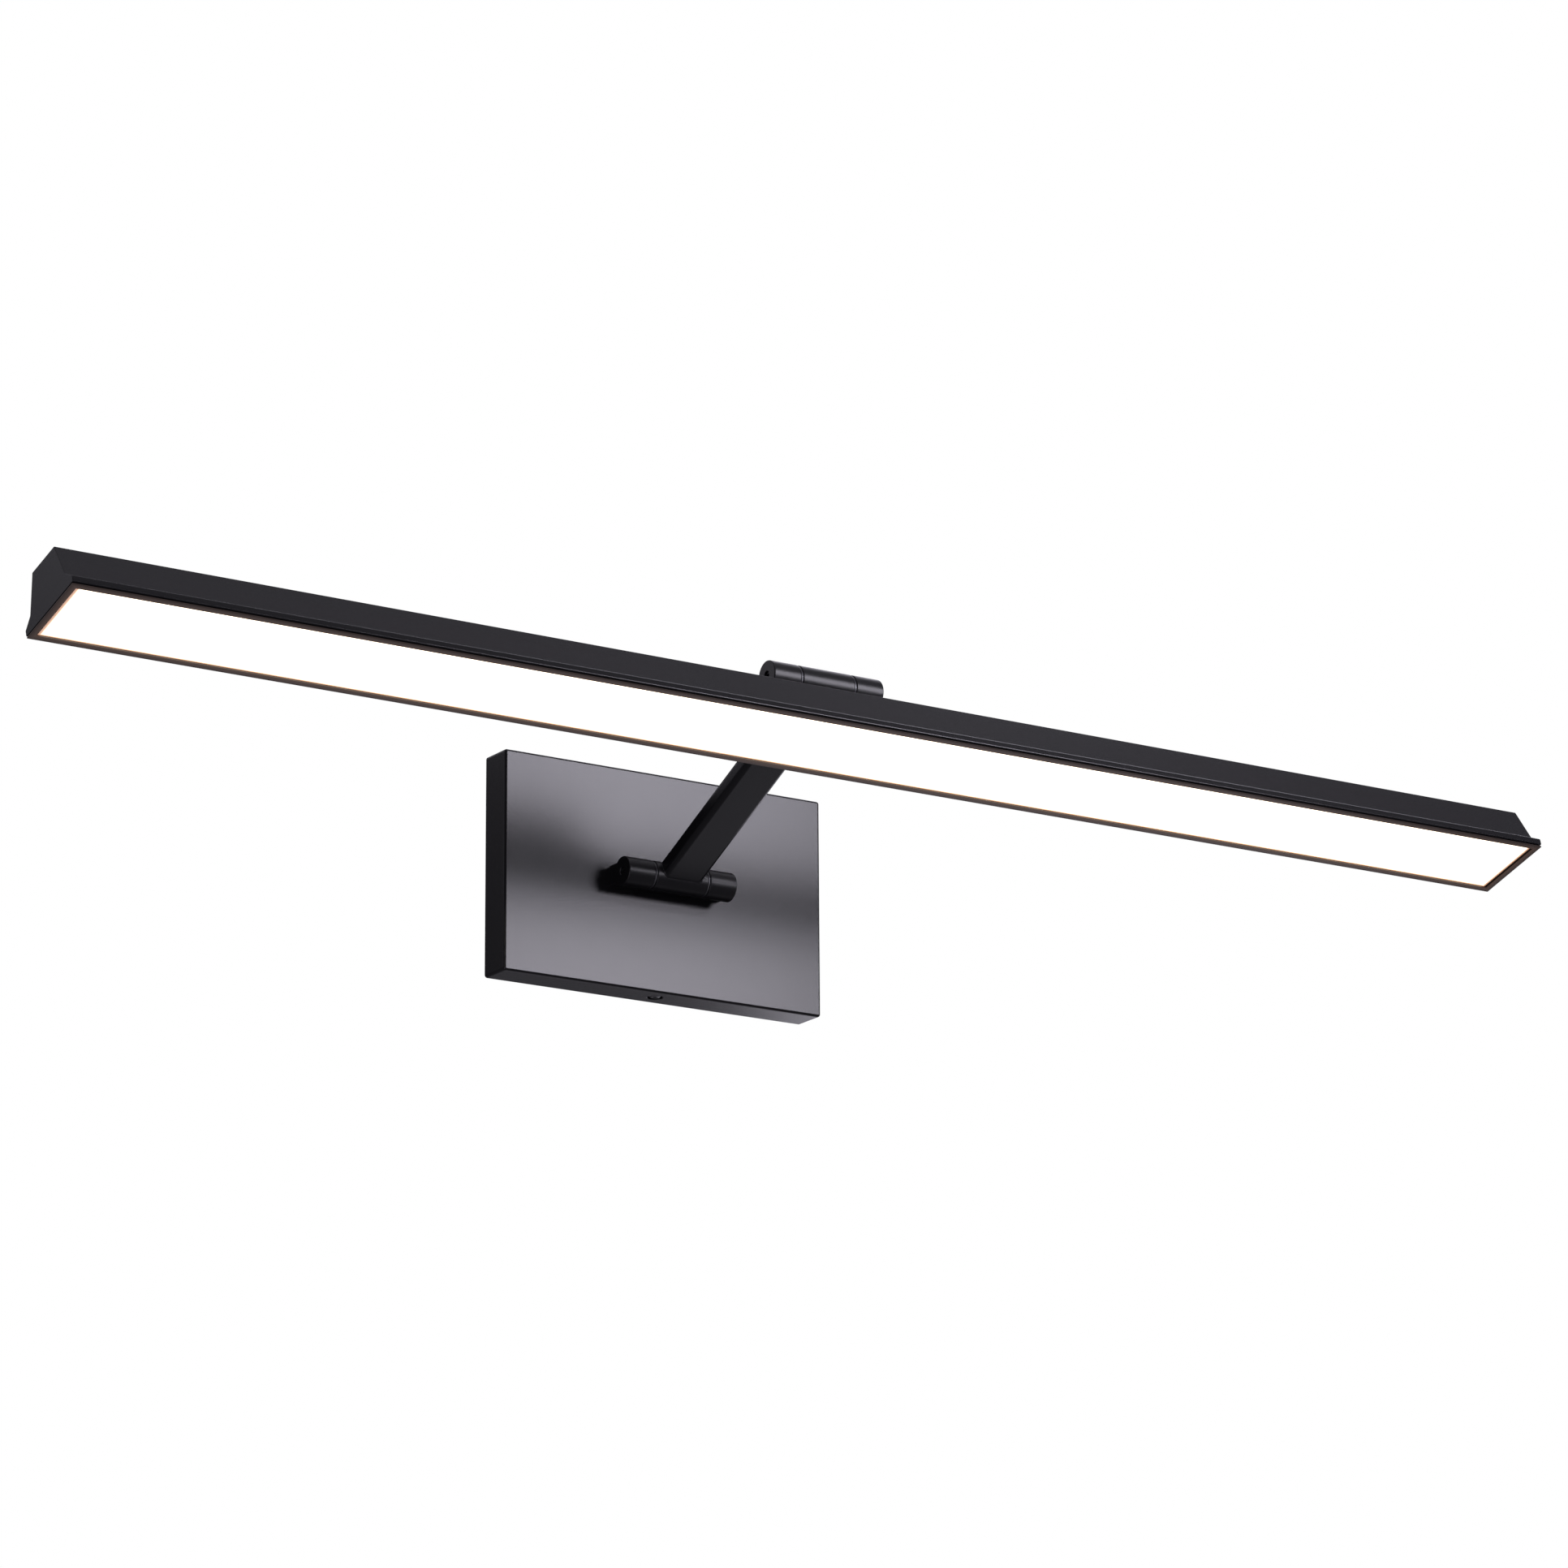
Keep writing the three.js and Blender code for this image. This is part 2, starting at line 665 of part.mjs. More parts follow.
// Towards the panel's edge: a flat lip below the head and an upright wall round the diffuser
function bezelFrame() {
  const { top, bottom, half, lip, upstand } = BEZEL;
  const inner = half - lip;
  const openX = HALF_HEAD - lip;
  const wallOuter = HEAD.flangeHalf - HEAD.skirt - GAP;
  const wallX = INSIDE_END - GAP;
  const wallTop = DIFFUSER.top;
  const lipPlate = block([-HALF_HEAD, HALF_HEAD], [-half, half], [-bottom, -top]);
  const wallBlock = block([-wallX, wallX], [-wallOuter, wallOuter], [-top - 0.2, -wallTop]);
  const wallHollow = block(
    [-wallX + upstand, wallX - upstand],
    [-wallOuter + upstand, wallOuter - upstand],
    [-bottom, -wallTop + 1],
  );
  return lipPlate
    .add(wallBlock.subtract(wallHollow))
    .subtract(block([-openX, openX], [-inner, inner], [-bottom - 1, -top + 0.1]));
}

function diffuser() {
  const x = INSIDE_END - 2 * GAP - BEZEL.upstand;
  return block([-x, x], [-DIFFUSER.half, DIFFUSER.half], [-DIFFUSER.bottom, -DIFFUSER.top]);
}

// One circuit strip with its row of LED chips soldered on
function ledBoard() {
  const margin = 10; // from the caps to the board, and from the board's end to its first chip
  const x = INSIDE_END - margin;
  const under = BOARD.top + BOARD.thickness;
  let board = block([-x, x], [-BOARD.half, BOARD.half], [-under, -BOARD.top]);
  const pitch = (2 * x - 2 * margin) / (BOARD.chips - 1);
  const size = BOARD.chip / 2;
  for (let i = 0; i < BOARD.chips; i++) {
    const at = -x + margin + i * pitch;
    const chip = block(
      [at - size, at + size],
      [-size, size],
      [-under - BOARD.chipHeight, -under + 0.1],
    );
    board = board.add(chip);
  }
  return board;
}

// A white channel that flares from the LED row to the diffuser
function reflector() {
  const x = INSIDE_END - 3;
  const sheet = 0.7;
  const top = BOARD.top + BOARD.thickness + 1.5;
  const play = 0.8; // clearance to the head's inside
  const shape = (inset) =>
    mirrored([
      [DIFFUSER.half - inset, -DIFFUSER.top + play / 2 - 2 * inset],
      [DIFFUSER.half - inset, -DIFFUSER.top + 0.9 - inset],
      [HEAD.baseHalf - HEAD.wall - play - inset, -HEAD.base - play],
      [BOARD.half - inset, -top - inset],
    ]);
  const slot = block([-x + 6, x - 6], [-3, 3], [-top - 2, -top + 2]);
  return barAlongX(shape(0), [-x, x])
    .subtract(barAlongX(shape(sheet), [-x - 1, x + 1]))
    .subtract(slot);
}

const CONNECTOR = { x: [52, 62], half: 4, height: 4.2, mouth: 4 };

function boardConnector() {
  const { x, half, height, mouth } = CONNECTOR;
  const base = -BOARD.top + 0.1;
  const body = block(x, [-half, half], [base, base + height]);
  const entry = block(
    [x[0] - 1, x[0] + mouth],
    [-CABLE_RADIUS - GAP, CABLE_RADIUS + GAP],
    [base + 0.5, base + height + 1],
  );
  return body.subtract(entry);
}

// From the hinge's axis down through the right lug's spigot and along to the connector
function headLead() {
  const lane = -BOARD.top + 2.6;
  return wire(
    [
      [BARREL_LENGTH / 2 + GAP, 0, 0],
      [LUG_MIDDLE, 0, 0],
      [LUG_MIDDLE, 0, lane],
      [CONNECTOR.x[0] + CONNECTOR.mouth - 0.5, 0, lane],
    ],
    CABLE_RADIUS,
    2.4,
  );
}

// ---------------------------------------------------------------- assembly

function addPart(group, name, made, material) {
  const mesh = new THREE.Mesh(geometryOf(made), material);
  mesh.name = name;
  group.add(mesh);
}

const radians = THREE.MathUtils.degToRad;

const pictureLight = new THREE.Group();

const wall = new THREE.Group();
pictureLight.add(wall);
addPart(wall, "wall_plate", wallPlate(), satinBlack);
addPart(wall, "mounting_bracket", mountingBracket(), zincSteel);
addPart(wall, "plate_screw_bottom", placedPlateScrew(-1), blackSteel);
addPart(wall, "plate_screw_top", placedPlateScrew(1), blackSteel);
for (const [name, side] of [["left", -1], ["right", 1]]) {
  const place = [(side * BOX_SCREW_SPACING) / 2, 0, 0];
  addPart(wall, `box_screw_${name}`, panScrew({ ...BOX_SCREW, place }), zincSteel);
}
addPart(wall, "ground_screw", panScrew(GROUND_SCREW), greenSheath);
addPart(wall, "led_driver", ledDriver(), driverCase);
addPart(wall, "driver_pad", driverPad(), foam);
const leave = { live: 18, neutral: 10 }; // heights at which the supply leads leave the driver
addPart(wall, "live_lead", supplyLead(leave.live, CAP_ROWS.live), blackSheath);
addPart(wall, "neutral_lead", supplyLead(leave.neutral, CAP_ROWS.neutral), whiteSheath);
addPart(wall, "ground_lead", groundLead(), greenSheath);
for (const [name, z] of Object.entries(CAP_ROWS)) {
  addPart(wall, `wire_cap_${name}`, wireCap(z), capPlastic);
}
addPart(wall, "driver_cable", driverCable(), blackSheath);

// The lower hinge's lugs point their necks at the wall: their frame is turned so -Z faces +Y
const lowerHinge = new THREE.Group();
lowerHinge.position.copy(LOWER_AXIS);
lowerHinge.rotation.x = Math.PI / 2;
wall.add(lowerHinge);

const arm = new THREE.Group();
arm.position.copy(LOWER_AXIS);
arm.rotation.x = -radians(ARM_ELEVATION);
pictureLight.add(arm);
addPart(arm, "lower_barrel", barrel(-1), satinBlack);
addPart(arm, "arm_tube", armTube(), satinBlack);
const upperBarrel = new THREE.Group();
upperBarrel.position.set(0, -ARM.length, 0);
arm.add(upperBarrel);
addPart(upperBarrel, "upper_barrel", barrel(1), satinBlack);
addPart(arm, "arm_cable", armCable(), blackSheath);

const head = new THREE.Group();
head.position.set(0, -ARM.length, 0).applyEuler(arm.rotation).add(LOWER_AXIS);
head.rotation.x = -radians(HEAD_TILT);
pictureLight.add(head);

const hinges = [
  ["lower", lowerHinge, -LOWER_AXIS.y - PLATE.depth, PLATE.wall],
  ["upper", head, HEAD.top, HEAD.wall],
];
for (const [level, group, seat, sheet] of hinges) {
  const spigot = sheet + NUT.thickness + 0.6;
  for (const [name, side] of [["left", -1], ["right", 1]]) {
    addPart(group, `${level}_lug_${name}`, lug(side, seat, spigot), satinBlack);
    addPart(group, `${level}_lug_nut_${name}`, lugNut(side, seat, sheet), zincSteel);
    addPart(group, `${level}_washer_${name}`, washer(side), washerSteel);
  }
  addPart(group, `${level}_pivot_screw`, pivotScrew(), blackSteel);
  addPart(group, `${level}_pivot_bush`, pivotBush(), brass);
}

addPart(head, "housing", housing(), satinBlack);
addPart(head, "end_cap_left", endCap(-1), satinBlack);
addPart(head, "end_cap_right", endCap(1), satinBlack);
addPart(head, "bezel_frame", bezelFrame(), satinBlack);
addPart(head, "diffuser", diffuser(), opal);
addPart(head, "led_board", ledBoard(), circuitWhite);
addPart(head, "reflector", reflector(), whitePlastic);
addPart(head, "board_connector", boardConnector(), whitePlastic);
addPart(head, "head_lead", headLead(), blackSheath);

export default pictureLight;
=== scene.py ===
"""A satin black LED picture light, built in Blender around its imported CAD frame.

Pieces are modelled in millimetres in straight local frames (wall plate, hinges, arm and head), then
placed in metres in the frame of the CAD. Each piece stands for the CAD nodes that it replaces. The
LED board, its reflector and its connector are inside the closed head, and keep their CAD solids.
"""
import itertools
import json
import math

import bmesh
import bpy
from mathutils import Matrix, Vector


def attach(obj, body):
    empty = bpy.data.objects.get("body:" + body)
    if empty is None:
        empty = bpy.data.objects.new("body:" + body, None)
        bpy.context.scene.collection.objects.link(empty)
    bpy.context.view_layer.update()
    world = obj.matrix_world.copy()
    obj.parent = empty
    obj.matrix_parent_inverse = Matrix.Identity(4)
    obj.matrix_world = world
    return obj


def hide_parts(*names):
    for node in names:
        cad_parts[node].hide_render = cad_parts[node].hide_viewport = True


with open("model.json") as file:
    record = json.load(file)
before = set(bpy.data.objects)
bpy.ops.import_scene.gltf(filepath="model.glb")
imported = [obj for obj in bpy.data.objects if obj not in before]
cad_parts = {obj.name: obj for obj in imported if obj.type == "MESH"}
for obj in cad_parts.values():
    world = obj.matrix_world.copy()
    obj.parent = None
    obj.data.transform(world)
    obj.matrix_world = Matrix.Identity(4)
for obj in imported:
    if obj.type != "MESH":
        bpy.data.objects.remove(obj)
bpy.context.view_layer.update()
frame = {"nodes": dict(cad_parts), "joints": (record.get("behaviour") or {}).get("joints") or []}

MM = 0.001
SCENE = bpy.context.scene
TAU = 2 * math.pi

# ---------------------------------------------------------------- driving dimensions, millimetres

PLATE = dict(width=200, height=122, depth=20.5, wall=2, corner=1.6, edge=1.4, back_edge=0.25)
SCREW_RECESS = dict(
    radius=4.3, depth=2.2, flare=0.4, bore=1.8, pad=4.2, pad_half=7, pad_back=-2.5,
)

HINGE_RADIUS = 8
NECK_HALF = 5.7
HINGE_LENGTH = 68
BARREL_LENGTH = 32
WASHER = 0.6
GAP = 0.3
LUG_START = BARREL_LENGTH / 2 + WASHER + 2 * GAP
LUG_END = HINGE_LENGTH / 2
LUG_MIDDLE = (LUG_START + LUG_END) / 2
LUG_EDGE = 0.55
BARREL_EDGE = 0.45
SPIGOT = 4.2
CABLE_BORE = 2.7
CABLE_BEND = 2.1  # how far a cable's bore runs past the hinge's axis
PIVOT = dict(screw=2, bush=4, bore=2.4, depth=9)
BUSH_END = LUG_MIDDLE - CABLE_BORE + 0.8
NUT = dict(across=13, thickness=3.2, crown=7.35, clearance=0.15, seat=0.1)

ARM_WIDTH = 25
ARM_THICKNESS = 10
ARM_WALL = 1.2
ARM_CORNER = 3
WELD = 0.6  # radius of the smooth run-out where the arm meets a barrel

HEAD_LENGTH = 905
HEAD_TILT = 17
HEAD = dict(
    top=9.7, top_half=12.1, base=30.2, base_half=19.4, flange=35.1, flange_half=25.8,
    bottom=38.5, wall=1.9, skirt=1.2, cap=3,
)
BEZEL = dict(top=39, bottom=39.8, half=25.2, lip=3.4, upstand=0.8)
DIFFUSER = dict(top=36.7, bottom=38.7, half=22.6)
INSIDE_END = HEAD_LENGTH / 2 - HEAD["cap"]
SEAM = 0.02  # the painted joint between the housing and a cap
BOARD = dict(top=22, thickness=1.6, ledge_inner=11.8)

BRACKET = dict(thickness=1.6, strap=22, reach=52, tab=5, bend=2, edge=0.2)
BOX_SLOT = dict(x=44.5, length=12.6, width=4.6)
PLATE_SCREW = dict(y=-10.25, head=3.4, head_height=1.9, shank=1.5, length=9, socket=2.5)
BOX_SCREW = dict(head=4, height=2.4, shank=1.95, seat=-1.7)
GROUND_SCREW = dict(x=30, z=-5.5, head=3.2, height=2.2, shank=1.45, seat=-2.7)
RING_TERMINAL = dict(outer=4, inner=2, thickness=0.8)
DRIVER = dict(x=(-94, -58), y=(-17, -4.5), z=(-35, 35), corner=2.5, edge=0.9)
DRIVER_LABEL = dict(width=24, height=46, corner=1.5, depth=0.25)
DRIVER_PAD = dict(margin=3, gap=0.1, edge=0.35)
WIRE_LANE = -9  # depth of the loose wires behind the plate
WIRE = 1.1
CABLE = 1.6
CABLE_TURN = 2.4  # how far before a corner a cable starts to bend
WIRE_CAP = dict(start=57, length=19, mouth=4.6, tip=3.1, bore=1.8, depth=7, flutes=10)
CAP_ROWS = dict(live=40, neutral=27, ground=-27)
LEAD_END = WIRE_CAP["start"] + WIRE_CAP["depth"] - 1
CONNECTOR = dict(x=(52, 62), mouth=4)

# ---------------------------------------------------------------- local frames, from the joints

joint_at = {j["name"]: Vector(j["pos_m"]) for j in frame["joints"]}
LOWER_AXIS = joint_at["arm_tilt"]
UPPER_AXIS = joint_at["head_tilt"]
ARM_SPAN = (UPPER_AXIS - LOWER_AXIS).length / MM
ARM_TURN = math.atan2(UPPER_AXIS.z - LOWER_AXIS.z, LOWER_AXIS.y - UPPER_AXIS.y)

WALL = Matrix.Identity(4)
LOWER = Matrix.Translation(LOWER_AXIS) @ Matrix.Rotation(math.pi / 2, 4, "X")
ARM = Matrix.Translation(LOWER_AXIS) @ Matrix.Rotation(-ARM_TURN, 4, "X")
UPPER = ARM @ Matrix.Translation((0, -ARM_SPAN * MM, 0))
TOP = Matrix.Translation(UPPER_AXIS) @ Matrix.Rotation(-math.radians(HEAD_TILT), 4, "X")
LOWER_SEAT = -LOWER_AXIS.y / MM - PLATE["depth"]
UPPER_SEAT = HEAD["top"]

# ---------------------------------------------------------------- mesh helpers


def solid(name, verts, faces):
    """A closed mesh object in millimetres, faces out."""
    mesh = bpy.data.meshes.new(name)
    mesh.from_pydata([tuple(v) for v in verts], [], faces)
    bm = bmesh.new()
    bm.from_mesh(mesh)
    bmesh.ops.remove_doubles(bm, verts=bm.verts, dist=1e-4)
    bmesh.ops.recalc_face_normals(bm, faces=bm.faces)
    bm.to_mesh(mesh)
    bm.free()
    obj = bpy.data.objects.new(name, mesh)
    SCENE.collection.objects.link(obj)
    return obj


def loft(name, rings, loop=False, start=True, end=True):
    """A skin over rings of equal length. loop joins the last ring to the first."""
    count = len(rings[0])
    verts = [v for ring in rings for v in ring]
    faces = []
    for i in range(len(rings) if loop else len(rings) - 1):
        a, b = i * count, ((i + 1) % len(rings)) * count
        for k in range(count):
            n = (k + 1) % count
            faces.append((a + k, a + n, b + n, b + k))
    if not loop and start:
        faces.append(tuple(reversed(range(count))))
    if not loop and end:
        faces.append(tuple(range(len(verts) - count, len(verts))))
    return solid(name, verts, faces)


def lathe(name, profile, centre=(0, 0, 0), axis="X", sides=64):
    """Turns (along, radius) points about an axis. A profile off the axis closes on itself."""
    open_ended = profile[0][1] == 0
    middle = profile[1:-1] if open_ended else profile
    verts, faces = [], []
    for along, radius in middle:
        for k in range(sides):
            angle = TAU * k / sides
            verts.append(spin(axis, along, radius, angle, centre))
    rows = len(middle)
    for i in range(rows - 1 if open_ended else rows):
        a, b = i * sides, ((i + 1) % rows) * sides
        for k in range(sides):
            n = (k + 1) % sides
            faces.append((a + k, a + n, b + n, b + k))
    if open_ended:
        for row, (along, _) in ((0, profile[0]), (rows - 1, profile[-1])):
            verts.append(spin(axis, along, 0, 0, centre))
            tip = len(verts) - 1
            for k in range(sides):
                faces.append((row * sides + k, row * sides + (k + 1) % sides, tip))
    return solid(name, verts, faces)


def spin(axis, along, radius, angle, centre):
    """The point at an angle round an axis, at a distance along it and a radius from it."""
    c, s = radius * math.cos(angle), radius * math.sin(angle)
    point = {"X": (along, c, s), "Y": (c, along, s), "Z": (c, s, along)}[axis]
    return Vector(point) + Vector(centre)


def rod(axis, radius, start, end, centre=(0, 0, 0), sides=48):
    profile = [(start, 0), (start, radius), (end, radius), (end, 0)]
    return lathe("rod", profile, centre, axis, sides)


def box(low, high):
    corners = list(itertools.product(*zip(low, high)))
    faces = [(0, 1, 3, 2), (4, 6, 7, 5), (0, 4, 5, 1), (2, 3, 7, 6), (0, 2, 6, 4), (1, 5, 7, 3)]
    return solid("box", corners, faces)


def prism(axis, points, start, end):
    """A polygon extruded along an axis. Its points are the two other coordinates, in order."""
    rings = []
    for along in (start, end):
        if axis == "X":
            rings.append([Vector((along, u, v)) for u, v in points])
        elif axis == "Y":
            rings.append([Vector((u, along, v)) for u, v in points])
        else:
            rings.append([Vector((u, v, along)) for u, v in points])
    return loft("prism", rings)


def bent_path(points, bend, steps=8):
    """The points joined by straight runs, with an eased bend at each corner."""
    points = [Vector(p) for p in points]
    path = [points[0]]
    for before, corner, after in zip(points, points[1:], points[2:]):
        enter = corner + (before - corner).normalized() * bend
        leave = corner + (after - corner).normalized() * bend
        for k in range(steps + 1):
            t = k / steps
            path.append(enter * (1 - t) ** 2 + corner * 2 * t * (1 - t) + leave * t * t)
    path.append(points[-1])
    return path


def wire(points, radius, bend, sides=20):
    """A round wire through the points, bent at each corner."""
    path = bent_path(points, bend)
    across = (path[1] - path[0]).orthogonal()
    rings = []
    for i, point in enumerate(path):
        ahead = (path[min(i + 1, len(path) - 1)] - path[max(i - 1, 0)]).normalized()
        across = (across - ahead * across.dot(ahead)).normalized()
        over = ahead.cross(across)
        angles = [TAU * k / sides for k in range(sides)]
        rings.append([point + (across * math.cos(a) + over * math.sin(a)) * radius for a in angles])
    return loft("wire", rings)


def apply_modifiers(obj):
    """Makes the modifiers' result the object's own mesh."""
    graph = bpy.context.evaluated_depsgraph_get()
    made = bpy.data.meshes.new_from_object(obj.evaluated_get(graph))
    obj.modifiers.clear()
    old = obj.data
    obj.data = made
    bpy.data.meshes.remove(old)


def combine(obj, other, operation):
    modifier = obj.modifiers.new("join", "BOOLEAN")
    modifier.object = other
    modifier.operation = operation
    modifier.solver = "EXACT"
    apply_modifiers(obj)
    bpy.data.objects.remove(other)
    return obj


def cut(obj, *tools):
    for tool in tools:
        combine(obj, tool, "DIFFERENCE")
    return obj


def add(obj, *others):
    for other in others:
        combine(obj, other, "UNION")
    return obj


def clean(obj, distance=0.004):
    """Merges the slivers that cutting leaves behind."""
    bm = bmesh.new()
    bm.from_mesh(obj.data)
    bmesh.ops.remove_doubles(bm, verts=bm.verts, dist=distance)
    bmesh.ops.dissolve_degenerate(bm, edges=bm.edges, dist=distance)
    bm.to_mesh(obj.data)
    bm.free()


def soften(obj, width, segments=2, angle=40):
    """Rounds every edge that is sharper than the angle."""
    clean(obj)
    modifier = obj.modifiers.new("soften", "BEVEL")
    modifier.width = width
    modifier.segments = segments
    modifier.limit_method = "ANGLE"
    modifier.angle_limit = math.radians(angle)
    apply_modifiers(obj)
    return obj


def place(obj, name, matrix, body, nodes, material, sharp=38):
    """Moves a millimetre piece to its place in the frame, and rides it on its body."""
    clean(obj)
    obj.name = name
    obj.data.name = name
    obj.data.transform(matrix @ Matrix.Scale(MM, 4))
    obj.data.shade_smooth()
    obj.data.set_sharp_from_angle(angle=math.radians(sharp))
    weighted = obj.modifiers.new("normals", "WEIGHTED_NORMAL")
    weighted.keep_sharp = True
    obj.data.materials.clear()
    obj.data.materials.append(material)
    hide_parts(*nodes)
    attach(obj, body)
    return obj


# ---------------------------------------------------------------- outlines


def rounded_rectangle(width, height, radius, segments=6):
    points = []
    for quarter, (sx, sy) in enumerate(((1, 1), (-1, 1), (-1, -1), (1, -1))):
        cx, cy = sx * (width / 2 - radius), sy * (height / 2 - radius)
        for k in range(segments + 1):
            angle = math.pi / 2 * (quarter + k / segments)
            points.append((cx + radius * math.cos(angle), cy + radius * math.sin(angle)))
    return points


def eased(points, segments=5):
    """A closed outline of (u, v, radius) corners, each rounded to its radius."""
    outline = []
    for i, (u, v, radius) in enumerate(points):
        corner = Vector((u, v))
        before = Vector(points[i - 1][:2]) - corner
        after = Vector(points[(i + 1) % len(points)][:2]) - corner
        before.normalize()
        after.normalize()
        half = before.angle(after) / 2
        if radius == 0 or half > math.pi / 2 - 0.01:
            outline.append((u, v))
            continue
        run = radius / math.tan(half)
        centre = corner + (before + after).normalized() * (radius / math.sin(half))
        start = corner + before * run - centre
        end = corner + after * run - centre
        sweep = start.angle_signed(end)
        for k in range(segments + 1):
            turned = start.copy()
            turned.rotate(Matrix.Rotation(-sweep * k / segments, 2))
            outline.append(tuple(centre + turned))
    return outline


def inset(points, distance):
    """The outline moved inwards, for small distances. Points run anticlockwise."""
    moved = []
    for i, point in enumerate(points):
        here = Vector(point)
        back = (here - Vector(points[i - 1])).normalized()
        ahead = (Vector(points[(i + 1) % len(points)]) - here).normalized()
        normal = Vector((-(back.y + ahead.y), back.x + ahead.x)).normalized()
        spread = max(0.5, normal.dot(Vector((-back.y, back.x))))
        moved.append(tuple(here + normal * distance / spread))
    return moved


def quarter_round(radius, segments):
    """(inset, advance) steps round an edge, from its side to its face."""
    steps = []
    for k in range(segments + 1):
        angle = math.pi / 2 * k / segments
        steps.append((radius * (1 - math.cos(angle)), radius * math.sin(angle)))
    return steps


def capped_bar(name, outline, inner, outer, edge, segments=3):
    """A (y, z) outline as a bar along X, square at its inner end and rounded at its outer end."""
    side = 1 if outer > inner else -1
    rings = [[(inner, u, v) for u, v in outline]]
    for shift, advance in quarter_round(edge, segments):
        rings.append([(outer - side * (edge - advance), u, v) for u, v in inset(outline, shift)])
    return loft(name, rings)


# ---------------------------------------------------------------- materials


def shader(name):
    material = bpy.data.materials.new(name)
    material.use_nodes = True
    tree = material.node_tree
    return material, tree, tree.nodes["Principled BSDF"]


def link(tree, source, output, target, socket):
    tree.links.new(source.outputs[output], target.inputs[socket])


def noise(tree, scale, detail=2.0, stretch=(1, 1, 1)):
    """Noise in the object's own metres, so that it stays on the piece in every pose."""
    coordinates = tree.nodes.new("ShaderNodeTexCoord")
    mapping = tree.nodes.new("ShaderNodeMapping")
    mapping.inputs["Scale"].default_value = stretch
    texture = tree.nodes.new("ShaderNodeTexNoise")
    texture.inputs["Scale"].default_value = scale
    texture.inputs["Detail"].default_value = detail
    link(tree, coordinates, "Object", mapping, "Vector")
    link(tree, mapping, "Vector", texture, "Vector")
    return texture


def remap(tree, texture, low, high):
    """The noise's usual 0.3 to 0.7 spread over the given range."""
    spread = tree.nodes.new("ShaderNodeMapRange")
    spread.clamp = False
    spread.inputs["From Min"].default_value = 0.3
    spread.inputs["From Max"].default_value = 0.7
    spread.inputs["To Min"].default_value = low
    spread.inputs["To Max"].default_value = high
    link(tree, texture, "Fac", spread, "Value")
    return spread


def surface(name, color, roughness, metallic=0.0, tint=0.06, mottle=25, spread=0.05,
            grain=1200, depth=0.00001, bump=0.3, stretch=(1, 1, 1)):
    """A finish with a large soft tint, a roughness that varies and a fine grain."""
    material, tree, bsdf = shader(name)
    patches = remap(tree, noise(tree, mottle, 3.0), 1 - tint, 1 + tint)
    mix = tree.nodes.new("ShaderNodeVectorMath")
    mix.operation = "SCALE"
    mix.inputs[0].default_value = color
    link(tree, patches, "Result", mix, "Scale")
    link(tree, mix, "Vector", bsdf, "Base Color")
    rough = remap(tree, noise(tree, mottle * 6, 4.0, stretch), roughness - spread, roughness + spread)
    link(tree, rough, "Result", bsdf, "Roughness")
    peel = tree.nodes.new("ShaderNodeBump")
    peel.inputs["Strength"].default_value = bump
    peel.inputs["Distance"].default_value = depth
    link(tree, noise(tree, grain, 2.0, stretch), "Fac", peel, "Height")
    link(tree, peel, "Normal", bsdf, "Normal")
    bsdf.inputs["Metallic"].default_value = metallic
    return material


def set_stops(ramp, stops):
    """Fills a colour ramp with (position, colour) stops."""
    while len(ramp.color_ramp.elements) < len(stops):
        ramp.color_ramp.elements.new(0.5)
    for element, (position, color) in zip(ramp.color_ramp.elements, stops):
        element.position = position
        element.color = (*color, 1)


def powder_coat(name, roughness):
    """Satin black powder coat with a very fine grain."""
    return surface(name, (0.0070, 0.0067, 0.0080), roughness, tint=0.08, grain=900,
                   depth=0.00004, bump=0.6, mottle=9, spread=0.002)


def opal_panel(name, glow):
    """Lit acrylic: white in the middle, with a warmer rim where the light thins out."""
    material, tree, bsdf = shader(name)
    rim = tree.nodes.new("ShaderNodeAttribute")
    rim.attribute_name = "rim"
    ramp = tree.nodes.new("ShaderNodeValToRGB")
    set_stops(ramp, ((0.0, (1.0, 0.93, 0.80)), (0.45, (1.0, 0.76, 0.50)), (1.0, (1.0, 0.46, 0.20))))
    link(tree, rim, "Fac", ramp, "Fac")
    dim = tree.nodes.new("ShaderNodeMapRange")
    dim.inputs["To Min"].default_value = glow
    dim.inputs["To Max"].default_value = glow * 0.12
    link(tree, rim, "Fac", dim, "Value")
    link(tree, ramp, "Color", bsdf, "Emission Color")
    link(tree, dim, "Result", bsdf, "Emission Strength")
    bsdf.inputs["Base Color"].default_value = (0.9, 0.9, 0.88, 1)
    bsdf.inputs["Roughness"].default_value = 0.35
    return material


def add_painted_glow(material, color):
    """Painted warm glow of the panel's light on the surface next to it: an emission whose strength is a
    value stored on the piece.
    """
    tree = material.node_tree
    painted_glow = tree.nodes.new("ShaderNodeAttribute")
    painted_glow.attribute_name = "painted_glow"
    bsdf = tree.nodes["Principled BSDF"]
    bsdf.inputs["Emission Color"].default_value = (*color, 1)
    link(tree, painted_glow, "Fac", bsdf, "Emission Strength")


